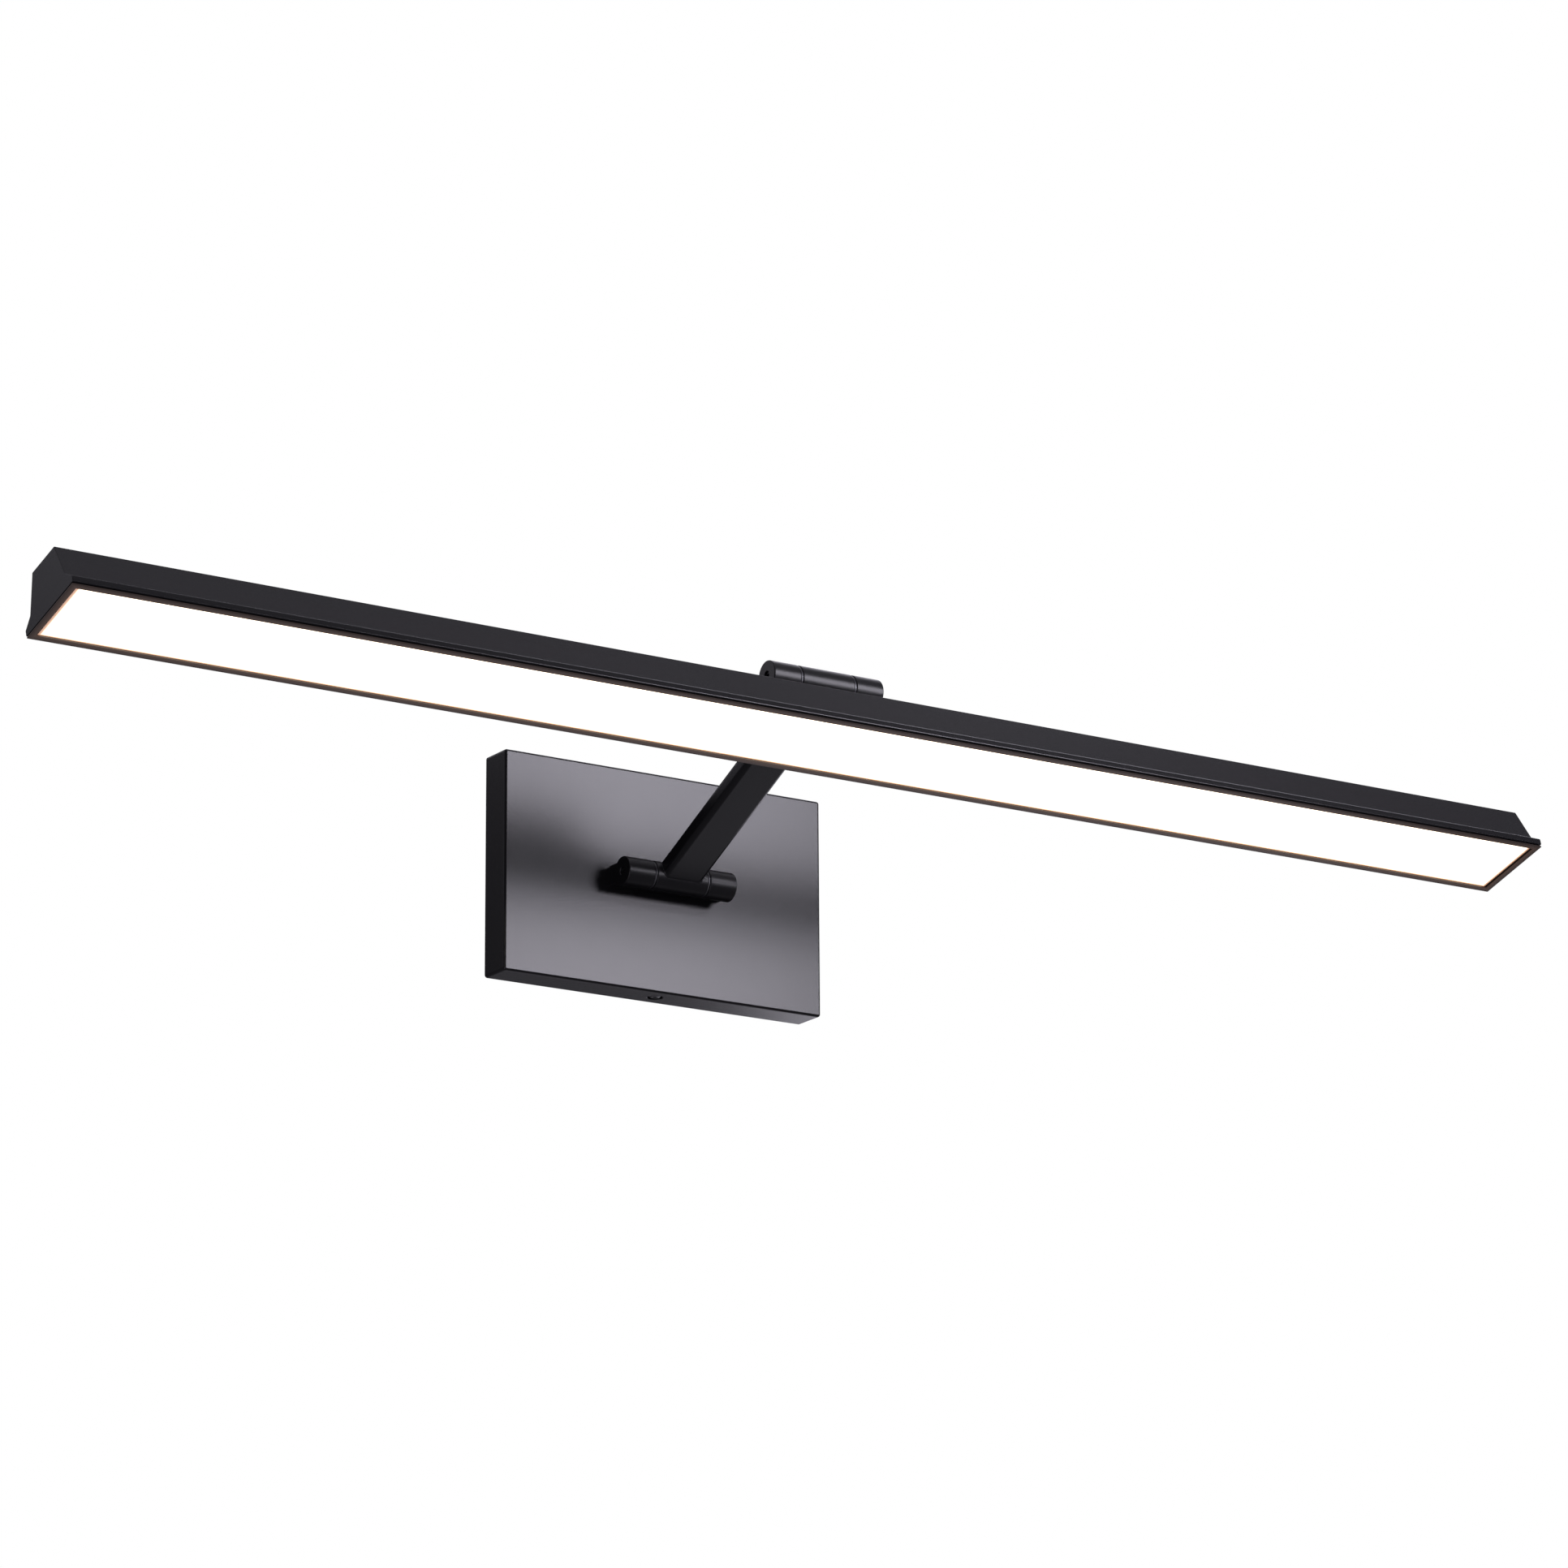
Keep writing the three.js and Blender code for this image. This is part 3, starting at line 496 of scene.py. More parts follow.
powder_black = powder_coat("powder_black", 0.27)
hinge_black = powder_coat("hinge_black", 0.36)
bezel_black = powder_coat("bezel_black", 0.27)
# painted glow: a weak warm emission on the bezel's lip stands in for the panel's light falling on it
add_painted_glow(bezel_black, (0.055, 0.034, 0.026))
plated_steel = surface("plated_steel", (0.60, 0.60, 0.58), 0.32, 1.0, tint=0.10, mottle=60,
                       spread=0.08, grain=2500, depth=0.000005, stretch=(1, 1, 6))
washer_steel = surface("washer_steel", (0.20, 0.20, 0.21), 0.42, 1.0, tint=0.06, mottle=150)
black_screw = surface("black_screw", (0.09, 0.09, 0.095), 0.35, 0.9, tint=0.15, mottle=300)
turned_brass = surface("turned_brass", (0.60, 0.42, 0.16), 0.3, 1.0, mottle=120)
driver_case = surface("driver_case", (0.72, 0.71, 0.67), 0.5, tint=0.03, grain=1800, bump=0.5)
foam = surface("foam", (0.05, 0.05, 0.05), 0.9, grain=2600, depth=0.0002, bump=0.9)
circuit = surface("circuit", (0.82, 0.83, 0.8), 0.35, tint=0.04, mottle=200)
white_liner = surface("white_liner", (0.85, 0.85, 0.84), 0.3, tint=0.02)
sheath_black = surface("sheath_black", (0.02, 0.02, 0.021), 0.45, tint=0.15, mottle=120)
sheath_white = surface("sheath_white", (0.75, 0.75, 0.73), 0.4, tint=0.04, mottle=120)
sheath_green = surface("sheath_green", (0.03, 0.22, 0.07), 0.42, tint=0.12, mottle=120)
cap_orange = surface("cap_orange", (0.62, 0.16, 0.02), 0.38, tint=0.08, mottle=160, grain=2000)
opal = opal_panel("opal", 4.0)

# ---------------------------------------------------------------- wall plate


def make_wall_plate():
    """A pan with rounded front edges, and a screw recess with a pad behind it at each end."""
    w, h, d, t = (PLATE[k] for k in ("width", "height", "depth", "wall"))
    edge, corner, rim = (PLATE[k] for k in ("edge", "corner", "back_edge"))
    r, flare, pad_half = (SCREW_RECESS[k] for k in ("radius", "flare", "pad_half"))

    def ring(shrink, y, segments=8):
        radius = max(corner - shrink, 0.2)
        outline = rounded_rectangle(w - 2 * shrink, h - 2 * shrink, radius, segments)
        return [(x, y, z) for x, z in outline]

    rings = [ring(rim, 0), ring(0, -rim)]
    rings += [ring(shrink, -(d - edge) - advance) for shrink, advance in quarter_round(edge, 10)]
    outer = loft("outer", rings)
    inner = loft("inner", [ring(t, 1), ring(t, -(d - t))])
    plate = cut(outer, inner)
    for side in (-1, 1):
        z = side * (h / 2)
        low, high = sorted((z - side * SCREW_RECESS["pad"], z - side * t / 2))
        pad = box((-pad_half, -(d - t) - 0.5, low), (pad_half, SCREW_RECESS["pad_back"], high))
        plate = add(plate, pad)
        bottom = z - side * SCREW_RECESS["depth"]
        start, bore = z - side * 6, SCREW_RECESS["bore"]
        profile = [(start, 0), (start, bore), (bottom, bore), (bottom, r), (z - side * 0.35, r),
                   (z + side * 0.05, r + flare), (z + side * 2, r + flare), (z + side * 2, 0)]
        recess = lathe("recess", profile, (0, -d / 2, 0), "Z")
        spigot = rod("Y", SPIGOT + GAP, -d - 1, -(d - t) + 1, (side * LUG_MIDDLE, 0, 0))
        plate = cut(plate, recess, spigot)
    return plate


place(make_wall_plate(), "wall_plate_shell", WALL, "wall_mount", ["wall_plate"],
      powder_black, 30)

# ---------------------------------------------------------------- hinges


def keyhole(shrink, seat, segments=28):
    """A lug's outline as (y, z): a round nose about the axis and a narrower neck to its seat."""
    radius, half = HINGE_RADIUS - shrink, NECK_HALF - shrink
    meet = math.asin(half / radius)
    points = [(half, -seat)]
    for k in range(segments + 1):
        angle = meet - math.pi / 2 + (TAU - 2 * meet) * k / segments
        points.append((radius * math.cos(angle), radius * math.sin(angle)))
    points.append((-half, -seat))
    return points


def make_lug(side, seat, sheet):
    """A fixed knuckle on a threaded spigot. The left one holds the screw, the right one the bush."""
    edge = LUG_EDGE
    steps = quarter_round(edge, 4)
    near, far = sorted((side * LUG_START, side * LUG_END))
    rings = []
    for shrink, advance in reversed(steps):
        rings.append([(near + edge - advance, y, z) for y, z in keyhole(shrink, seat)])
    for shrink, advance in steps:
        rings.append([(far - edge + advance, y, z) for y, z in keyhole(shrink, seat)])
    lug = loft("lug", rings)
    x = side * LUG_MIDDLE
    length = sheet + NUT["thickness"] + 0.6
    add(lug, rod("Z", SPIGOT, -seat - length, -seat + 1, (x, 0, 0)))
    if side < 0:
        r = PIVOT["screw"] + GAP / 2
        mouth = [(-LUG_END - 1, 0), (-LUG_END - 1, r + 0.35), (-LUG_END - 0.02, r + 0.35),
                 (-LUG_END + 0.35, r), (0, r), (0, 0)]
        return cut(lug, lathe("mouth", mouth))
    return cut(
        lug,
        rod("X", PIVOT["bush"] + GAP / 2, LUG_START - 1, BUSH_END),
        rod("X", PIVOT["bore"], BUSH_END - 1, LUG_MIDDLE + 1.9),
        rod("Z", CABLE_BORE, -seat - length - 1, CABLE_BEND, (x, 0, 0)),
    )


def make_barrel(facing):
    """The arm's knuckle, with the screw's bore, the bush's counterbore and the cable's way."""
    half, r, edge = BARREL_LENGTH / 2, HINGE_RADIUS, BARREL_EDGE
    steps = quarter_round(edge, 4)
    small, large, bore = PIVOT["screw"] + GAP / 2, PIVOT["bush"] + GAP / 2, PIVOT["bore"]
    profile = [(-half + edge - advance, r - shrink) for shrink, advance in reversed(steps)]
    profile += [(half - edge + advance, r - shrink) for shrink, advance in steps]
    profile += [(half, large), (half - PIVOT["depth"], large), (half - PIVOT["depth"], bore),
                (-2, bore), (-2, small), (-half, small)]
    barrel = lathe("barrel", profile, sides=96)
    way = sorted((-facing * 1.9, facing * (r + 1)))
    return cut(barrel, rod("Y", CABLE_BORE, *way))


def make_washer(side):
    """A thin ring in the joint between a lug and the barrel."""
    inner = BARREL_LENGTH / 2 + GAP
    near, far = sorted((side * inner, side * (inner + WASHER)))
    r = HINGE_RADIUS - 0.35
    hole = (PIVOT["screw"] if side < 0 else PIVOT["bush"]) + GAP / 2
    c = 0.15
    profile = [(near, hole), (near, r - c), (near + c, r), (far - c, r), (far, r - c), (far, hole)]
    return lathe("washer", profile, sides=96)


def hexagon(across):
    """The corners of a hexagon by its width across flats."""
    corner = across / math.sqrt(3)
    return [(corner * math.cos(TAU * (k + 0.5) / 6), corner * math.sin(TAU * (k + 0.5) / 6))
            for k in range(6)]


def make_pivot_screw():
    """A headless screw with a hexagon socket, from the left lug into the barrel."""
    r, start = PIVOT["screw"], -LUG_END + 1
    tip = -BARREL_LENGTH / 2 + PIVOT["depth"] - 1
    profile = [(start, 0), (start, r - 0.25), (start + 0.25, r), (tip - 0.8, r), (tip, r - 0.8),
               (tip, 0)]
    return cut(lathe("pivot", profile), prism("X", hexagon(2.1), start - 1, start + 2))


def make_pivot_bush():
    """A hollow pivot that passes the cable from the right lug into the barrel."""
    start, end, c = BARREL_LENGTH / 2 - PIVOT["depth"] + GAP, BUSH_END - GAP, 0.3
    outer, bore = PIVOT["bush"], PIVOT["bore"]
    profile = [(start, bore), (start, outer - c), (start + c, outer), (end - c, outer),
               (end, outer - c), (end, bore)]
    return lathe("bush", profile)


def make_nut(side, seat, sheet):
    top = -seat - sheet - NUT["seat"]
    bottom, crown = top - NUT["thickness"], NUT["crown"]
    x = side * LUG_MIDDLE
    nut = prism("Z", [(x + u, v) for u, v in hexagon(NUT["across"])], bottom, top)
    chamfer = [(bottom, 0), (bottom, crown - 0.75), (bottom + 0.5, crown + 0.2), (top, crown + 0.2),
               (top, 0)]
    combine(nut, lathe("crown", chamfer, (x, 0, 0), "Z"), "INTERSECT")
    return cut(nut, rod("Z", SPIGOT + NUT["clearance"], bottom - 1, top + 1, (x, 0, 0)))


HINGES = (
    ("lower", LOWER, "wall_mount", LOWER_SEAT, PLATE["wall"]),
    ("upper", TOP, "head", UPPER_SEAT, HEAD["wall"]),
)
for level, matrix, body, seat, sheet in HINGES:
    for hand, side in (("left", -1), ("right", 1)):
        place(make_lug(side, seat, sheet), f"{level}_hinge_lug_{hand}", matrix, body,
              [f"{level}_lug_{hand}"], hinge_black)
        place(make_washer(side), f"{level}_hinge_washer_{hand}", matrix, body,
              [f"{level}_washer_{hand}"], washer_steel)
        place(make_nut(side, seat, sheet), f"{level}_hinge_nut_{hand}", matrix, body,
              [f"{level}_lug_nut_{hand}"], plated_steel)
    place(make_pivot_screw(), f"{level}_hinge_screw", matrix, body, [f"{level}_pivot_screw"],
          black_screw)
    place(make_pivot_bush(), f"{level}_hinge_bush", matrix, body, [f"{level}_pivot_bush"],
          turned_brass)

place(make_barrel(-1), "lower_hinge_barrel", ARM, "arm", ["lower_barrel"], hinge_black)
place(make_barrel(1), "upper_hinge_barrel", UPPER, "arm", ["upper_barrel"], hinge_black)

# ---------------------------------------------------------------- arm


def make_arm():
    """A flat tube whose two ends are saddles on the barrels, with a smooth weld run-out."""
    outline = rounded_rectangle(ARM_WIDTH, ARM_THICKNESS, ARM_CORNER, 8)
    bore = rounded_rectangle(ARM_WIDTH - 2 * ARM_WALL, ARM_THICKNESS - 2 * ARM_WALL, 0.6, 8)
    spread = inset(outline, -WELD)
    r = HINGE_RADIUS + 0.01

    def saddle(v):
        return math.sqrt(r * r - v * v)

    def foot(weight):
        """Distance along the arm and sideways spread, on the weld's curve from arm to barrel."""
        ring = []
        for (u, v), (su, sv) in zip(outline, spread):
            high = saddle(v) + WELD
            corner = saddle(v)
            low = saddle(sv)
            a, b, c = (1 - weight) ** 2, 2 * weight * (1 - weight), weight ** 2
            ring.append((a * u + b * u + c * su, a * high + b * corner + c * low,
                         a * v + b * v + c * sv))
        return ring

    steps = 7
    near = [foot(k / steps) for k in range(steps, -1, -1)]
    mouth = [(u, saddle(v), v) for u, v in bore]
    rings = [[(x, -y, z) for x, y, z in ring] for ring in near]
    rings += [[(x, y - ARM_SPAN, z) for x, y, z in ring] for ring in reversed(near)]
    rings.append([(x, y - ARM_SPAN, z) for x, y, z in mouth])
    rings.append([(x, -y, z) for x, y, z in mouth])
    return loft("arm", rings, loop=True)


place(make_arm(), "arm_bar", ARM, "arm", ["arm_tube"], powder_black)

# ---------------------------------------------------------------- head


def head_outline():
    """The outside of the head as (y, z), anticlockwise, with its soft corners."""
    right = [
        (HEAD["flange_half"], -HEAD["bottom"], 0.75),
        (HEAD["flange_half"], -HEAD["flange"], 0.6),
        (HEAD["base_half"], -HEAD["base"], 0.9),
        (HEAD["top_half"], -HEAD["top"], 0.5),
    ]
    left = [(-u, v, r) for u, v, r in reversed(right)]
    return eased(right + left)


def wall_half(depth):
    """Half the head's outer width at a depth under the hinge."""
    slope = (HEAD["base_half"] - HEAD["top_half"]) / (HEAD["base"] - HEAD["top"])
    return HEAD["top_half"] + slope * (depth - HEAD["top"])


def make_housing():
    """The extrusion: a hollow outline open at the bottom, with two ledges that hold the board."""
    end = INSIDE_END - SEAM
    body = prism("X", head_outline(), -end, end)
    ceiling = HEAD["top"] + HEAD["wall"]
    right = [
        (HEAD["flange_half"] - HEAD["skirt"], -HEAD["bottom"] - 1, 0),
        (HEAD["flange_half"] - HEAD["skirt"], -HEAD["flange"] - 0.9, 0.4),
        (HEAD["base_half"] - HEAD["wall"], -HEAD["base"] - 0.4, 1.0),
        (wall_half(ceiling) - HEAD["wall"], -ceiling, 0.5),
    ]
    cavity = eased(right + [(-u, v, r) for u, v, r in reversed(right)])
    cut(body, prism("X", cavity, -HEAD_LENGTH, HEAD_LENGTH))
    ledge = BOARD["top"] + BOARD["thickness"] + 0.2
    for side in (-1, 1):
        inner, outer = BOARD["ledge_inner"], wall_half(ledge) - HEAD["wall"] / 2
        low, high = sorted((side * inner, side * outer))
        add(body, box((-end, low, -ledge - 1), (end, high, -ledge)))
        cut(body, rod("Z", SPIGOT + GAP, -ceiling - 1, -HEAD["top"] + 1, (side * LUG_MIDDLE, 0, 0)))
    return body


def make_end_cap(side):
    """A plate over the head's end with a tongue that slides into the housing."""
    cap = capped_bar("cap", head_outline(), side * INSIDE_END, side * HEAD_LENGTH / 2, 0.3)
    top = HEAD["top"] + HEAD["wall"] + GAP
    half = wall_half(top) - HEAD["wall"] - GAP
    low, high = sorted((side * (INSIDE_END - 8), side * (INSIDE_END + 1)))
    return add(cap, box((low, -half, -BOARD["top"] + 0.8), (high, half, -top)))


def frame_ring(half_x, half_y, z, radius):
    """A rounded rectangle at a height, in the head's frame."""
    return [(x, y, z) for x, y in rounded_rectangle(2 * half_x, 2 * half_y, radius, 4)]


def make_bezel():
    """The slim frame under the head, its section swept round the rectangle."""
    top, bottom, half, lip = (BEZEL[k] for k in ("top", "bottom", "half", "lip"))
    end = HEAD_LENGTH / 2
    wall_y = HEAD["flange_half"] - HEAD["skirt"] - GAP
    wall_x = INSIDE_END - GAP
    thick = BEZEL["upstand"]
    c = 0.15
    section = [
        (end - c, half - c, -bottom),
        (end, half, -bottom + c),
        (end, half, -top - c),
        (end - c, half - c, -top),
        (wall_x, wall_y, -top),
        (wall_x, wall_y, -DIFFUSER["top"]),
        (wall_x - thick, wall_y - thick, -DIFFUSER["top"]),
        (wall_x - thick, wall_y - thick, -top + 0.1),
        (end - lip, half - lip, -top + 0.1),
        (end - lip, half - lip, -bottom + c),
        (end - lip + c, half - lip + c, -bottom),
    ]
    bezel = loft("bezel", [frame_ring(*corner, 0.15) for corner in section], loop=True)
    # Painted warm glow from the panel on the lip's lower part, stronger towards its inner edge and zero
    # elsewhere.
    painted_glow = bezel.data.attributes.new("painted_glow", "FLOAT", "POINT")
    for i, vertex in enumerate(bezel.data.vertices):
        away = min(end - abs(vertex.co.x), half - abs(vertex.co.y)) / lip
        painted_glow.data[i].value = 0.4 + 0.6 * away if vertex.co.z < -top - c / 2 else 0
    return bezel


def make_diffuser():
    """The opal sheet, with a rim value that rises towards its edges."""
    end, half = INSIDE_END - 2 * GAP - BEZEL["upstand"], DIFFUSER["half"]
    top, bottom = -DIFFUSER["top"], -DIFFUSER["bottom"]
    hidden = DIFFUSER["half"] - (BEZEL["half"] - BEZEL["lip"])
    rims = ((0, 1.0), (hidden, 1.0), (hidden + 0.45, 0.8), (hidden + 0.9, 0.45),
            (hidden + 1.8, 0.15), (hidden + 4, 0.0))
    c = 0.2
    rings = [frame_ring(end - c, half - c, top, 0.3), frame_ring(end, half, top - c, 0.4),
             frame_ring(end, half, bottom + c, 0.4)]
    for shrink, _ in rims:
        shrink = max(shrink, c)
        rings.append(frame_ring(end - shrink, half - shrink, bottom, 0.3))
    panel = loft("panel", rings)
    rim = panel.data.attributes.new("rim", "FLOAT", "POINT")
    for i, vertex in enumerate(panel.data.vertices):
        away = min(end - abs(vertex.co.x), half - abs(vertex.co.y))
        value = 1.0
        for shrink, level in rims:
            if away >= shrink - 1e-3:
                value = level
        rim.data[i].value = value
    return panel


place(make_housing(), "head_housing", TOP, "head", ["housing"], powder_black, 32)
place(make_end_cap(-1), "head_cap_left", TOP, "head", ["end_cap_left"], powder_black)
place(make_end_cap(1), "head_cap_right", TOP, "head", ["end_cap_right"], powder_black)
place(make_bezel(), "panel_bezel", TOP, "head", ["bezel_frame"], bezel_black)
place(make_diffuser(), "opal_panel", TOP, "head", ["diffuser"], opal)

# ---------------------------------------------------------------- fixing to the junction box


def make_bracket():
    """A cross of strip steel: a flat bar, and a bar whose ends bend towards the room."""
    t, half, reach = BRACKET["thickness"], BRACKET["strap"] / 2, BRACKET["reach"]
    outer = PLATE["height"] / 2 - SCREW_RECESS["pad"] - GAP
    tip = PLATE_SCREW["y"] - BRACKET["tab"]
    upper = [(tip, outer, 0.3), (tip, outer - t, 0.3), (-t, outer - t, 0.6)]
    lower = [(u, -v, radius) for u, v, radius in reversed(upper)]
    bend = BRACKET["bend"]
    strip = eased(upper + lower + [(0, -outer, bend), (0, outer, bend)])
    bracket = prism("X", strip, -half, half)
    bar = rounded_rectangle(2 * reach, 2 * half, 2.5)
    add(bracket, prism("Y", bar, -t, 0))
    for side in (-1, 1):
        slot = rounded_rectangle(BOX_SLOT["length"], BOX_SLOT["width"], BOX_SLOT["width"] / 2 - 0.01)
        slot = [(side * BOX_SLOT["x"] + u, v) for u, v in slot]
        thread = sorted((side * (outer - t - 1), side * (outer + 1)))
        cut(
            bracket,
            prism("Y", slot, -t - 1, 1),
            rod("Z", PLATE_SCREW["shank"] + GAP / 2, *thread, (0, PLATE_SCREW["y"], 0)),
        )
    ground = (GROUND_SCREW["x"], 0, GROUND_SCREW["z"])
    cut(bracket, rod("Y", GROUND_SCREW["shank"] + GAP / 2, -t - 1, 1, ground))
    return soften(bracket, BRACKET["edge"])


def make_pan_screw(screw, x, z):
    """A slotted pan head on a threaded shank that points into the wall."""
    head, height, shank, seat = (screw[k] for k in ("head", "height", "shank", "seat"))
    top, tip = seat - height, -0.05
    profile = [(tip, 0), (tip, shank - 0.2), (tip - 0.2, shank), (seat, shank), (seat, head - 0.15),
               (seat - 0.15, head)]
    steps = 7
    for k in range(steps):
        angle = math.pi / 2 * k / steps
        profile.append((seat - height * (0.45 + 0.55 * math.sin(angle)), head * math.cos(angle * 0.62)))
    profile += [(top, head * 0.5), (top, 0)]
    made = lathe("screw", profile, (x, 0, z), "Y", 40)
    slot = 0.45
    return cut(made, box((x - head, top - 1, z - slot), (x + head, top + height * 0.45, z + slot)))


def make_plate_screw(side):
    """A button head with a hexagon socket, in the recess of the plate's edge."""
    head, high = PLATE_SCREW["head"], PLATE_SCREW["head_height"]
    shank, length = PLATE_SCREW["shank"], PLATE_SCREW["length"]
    start = PLATE["height"] / 2 - SCREW_RECESS["depth"] + high + 0.1
    profile = [(0, 0), (0, head * 0.6)]
    steps = 6
    for k in range(1, steps + 1):
        angle = math.pi / 2 * k / steps
        profile.append((high * 0.8 * (1 - math.cos(angle)), head * (0.6 + 0.4 * math.sin(angle))))
    profile += [(high, head), (high, shank), (length - 0.5, shank), (length, shank - 0.5), (length, 0)]
    profile = [(side * (start - along), radius) for along, radius in profile]
    screw = lathe("screw", profile, (0, PLATE_SCREW["y"], 0), "Z", 48)
    key = [(u, PLATE_SCREW["y"] + v) for u, v in hexagon(PLATE_SCREW["socket"])]
    return cut(screw, prism("Z", key, *sorted((side * (start - 1.1), side * (start + 1)))))


place(make_bracket(), "junction_bracket", WALL, "wall_mount", ["mounting_bracket"],
      plated_steel)
for hand, side in (("left", -1), ("right", 1)):
    place(make_pan_screw(BOX_SCREW, side * BOX_SLOT["x"], 0), f"junction_screw_{hand}", WALL,
          "wall_mount", [f"box_screw_{hand}"], plated_steel)
place(make_pan_screw(GROUND_SCREW, GROUND_SCREW["x"], GROUND_SCREW["z"]), "earth_screw", WALL,
      "wall_mount", ["ground_screw"], sheath_green)
for level, side in (("bottom", -1), ("top", 1)):
    place(make_plate_screw(side), f"grub_screw_{level}", WALL, "wall_mount",
          [f"plate_screw_{level}"], black_screw)

# ---------------------------------------------------------------- electrics


def make_driver():
    """A moulded case with eased edges, a parting line and a shallow blank label field."""
    (x0, x1), (y0, y1), (z0, z1), edge = (DRIVER[k] for k in ("x", "y", "z", "edge"))
    middle = (x0 + x1) / 2
    outline = rounded_rectangle(x1 - x0, z1 - z0, DRIVER["corner"], 8)
    groove, seam = 0.3, (y0 + y1) / 2 + 2
    steps = quarter_round(edge, 5)
    levels = [(y0 + edge - advance, shift) for shift, advance in reversed(steps)]
    levels += [(seam - groove, 0), (seam - groove, groove), (seam + groove, groove), (seam + groove, 0)]
    levels += [(y1 - edge + advance, shift) for shift, advance in steps]
    rings = [[(middle + u, y, v) for u, v in inset(outline, shift)] for y, shift in levels]
    case = loft("case", rings)
    width, height, corner, depth = (DRIVER_LABEL[k] for k in ("width", "height", "corner", "depth"))
    label = [(middle + u, v) for u, v in rounded_rectangle(width, height, corner)]
    return cut(case, prism("Y", label, y1 - depth, y1 + 1))


def make_pad():
    """Foam tape between the driver and the plate."""
    margin, gap, edge = (DRIVER_PAD[k] for k in ("margin", "gap", "edge"))
    (x0, x1), (z0, z1) = DRIVER["x"], DRIVER["z"]
    low = (x0 + margin, -PLATE["depth"] + PLATE["wall"] + gap, z0 + margin)
    high = (x1 - margin, DRIVER["y"][0] - gap, z1 - margin)
    return soften(box(low, high), edge, 4)


def make_wire_cap(z):
    """A fluted cone with a skirt and a blind bore for the wires' ends."""
    start, length, mouth, tip = (WIRE_CAP[k] for k in ("start", "length", "mouth", "tip"))
    bore, depth, flutes = (WIRE_CAP[k] for k in ("bore", "depth", "flutes"))
    profile = [(start + depth, 0), (start + depth, bore), (start + 0.3, bore), (start, bore + 0.3),
               (start, mouth - 0.3), (start + 0.3, mouth), (start + length * 0.22, mouth),
               (start + length * 0.26, mouth - 0.3), (start + length * 0.34, mouth - 0.35)]
    taper = start + length * 0.86
    profile += [(taper, tip)]
    profile += [(taper + (length * 0.14) * math.sin(a), tip * (0.62 + 0.38 * math.cos(a)))
                for a in (math.pi / 2 * k / 5 for k in range(1, 6))]
    profile.append((start + length, 0))
    cap = lathe("cap", profile, (0, WIRE_LANE, z), "X", 60)
    for k in range(flutes):
        outward = spin("X", 0, 1, TAU * k / flutes, (0, 0, 0))
        high = Vector((start + length * 0.36, WIRE_LANE, z)) + outward * (mouth + 0.15)
        low = Vector((start + length * 0.92, WIRE_LANE, z)) + outward * (tip + 0.25)
        cut(cap, wire([high, low], 0.6, 0, 12))
    return cap


def lead(leave, row):
    """A loose wire that leaves the driver at one height and enters a wire cap at another."""
    out = DRIVER["x"][1]
    return wire([(out + GAP, WIRE_LANE, leave), (out + 12, WIRE_LANE, leave),
                 (out + 30, WIRE_LANE, row), (LEAD_END, WIRE_LANE, row)], WIRE, 5)


def make_ground_lead():
    """The earth wire, crimped to a ring terminal under the earth screw."""
    x, z = GROUND_SCREW["x"], GROUND_SCREW["z"]
    outer, inner, thick = (RING_TERMINAL[k] for k in ("outer", "inner", "thickness"))
    back = -BRACKET["thickness"] - 0.1
    middle, row = back - thick / 2, CAP_ROWS["ground"]
    ring = cut(rod("Y", outer, back - thick, back, (x, 0, z)), rod("Y", inner, -9, 9, (x, 0, z)))
    run = wire([(x + outer - 0.8, middle - 0.8, z - 1.5), (x + 12, middle - 1.6, z - 6),
                (x + 16, WIRE_LANE, row), (LEAD_END, WIRE_LANE, row)], WIRE, 3)
    return add(ring, run)


def make_driver_cable():
    """The cable from the driver, through the right lug to the hinge's axis."""
    lane = WIRE_LANE + 1.5
    return wire([(DRIVER["x"][1] + GAP, lane, -14), (-30, lane, -20), (12, lane, -20),
                 (LUG_MIDDLE, lane, -4), (LUG_MIDDLE, WIRE_LANE, 0),
                 (LUG_MIDDLE, LOWER_AXIS.y / MM, 0), (BARREL_LENGTH / 2 + GAP, LOWER_AXIS.y / MM, 0)],
                CABLE, CABLE_TURN)


def make_arm_cable():
    """The cable inside the arm, from one hinge's axis to the other."""
    start = BARREL_LENGTH / 2 - GAP
    return wire([(start, 0, 0), (0, 0, 0), (0, -ARM_SPAN, 0), (start, -ARM_SPAN, 0)], CABLE, CABLE_TURN)


def make_head_lead():
    """The cable from the hinge's axis through the right lug to the LED board's connector."""
    lane = -BOARD["top"] + 2.6
    return wire([(BARREL_LENGTH / 2 + GAP, 0, 0), (LUG_MIDDLE, 0, 0), (LUG_MIDDLE, 0, lane),
                 (CONNECTOR["x"][0] + CONNECTOR["mouth"] - 0.5, 0, lane)], CABLE, CABLE_TURN)


place(make_driver(), "driver_case", WALL, "wall_mount", ["led_driver"], driver_case)
place(make_pad(), "driver_foam", WALL, "wall_mount", ["driver_pad"], foam)
place(lead(18, CAP_ROWS["live"]), "wire_live", WALL, "wall_mount", ["live_lead"],
      sheath_black)
place(lead(10, CAP_ROWS["neutral"]), "wire_neutral", WALL, "wall_mount", ["neutral_lead"],
      sheath_white)
place(make_ground_lead(), "wire_earth", WALL, "wall_mount", ["ground_lead"],
      sheath_green)
for row, z in CAP_ROWS.items():
    place(make_wire_cap(z), f"twist_cap_{row}", WALL, "wall_mount", [f"wire_cap_{row}"],
          cap_orange)
place(make_driver_cable(), "cable_to_hinge", WALL, "wall_mount", ["driver_cable"],
      sheath_black)
place(make_arm_cable(), "cable_in_arm", ARM, "arm", ["arm_cable"], sheath_black)
place(make_head_lead(), "cable_to_board", TOP, "head", ["head_lead"], sheath_black)

# ---------------------------------------------------------------- CAD nodes that stay

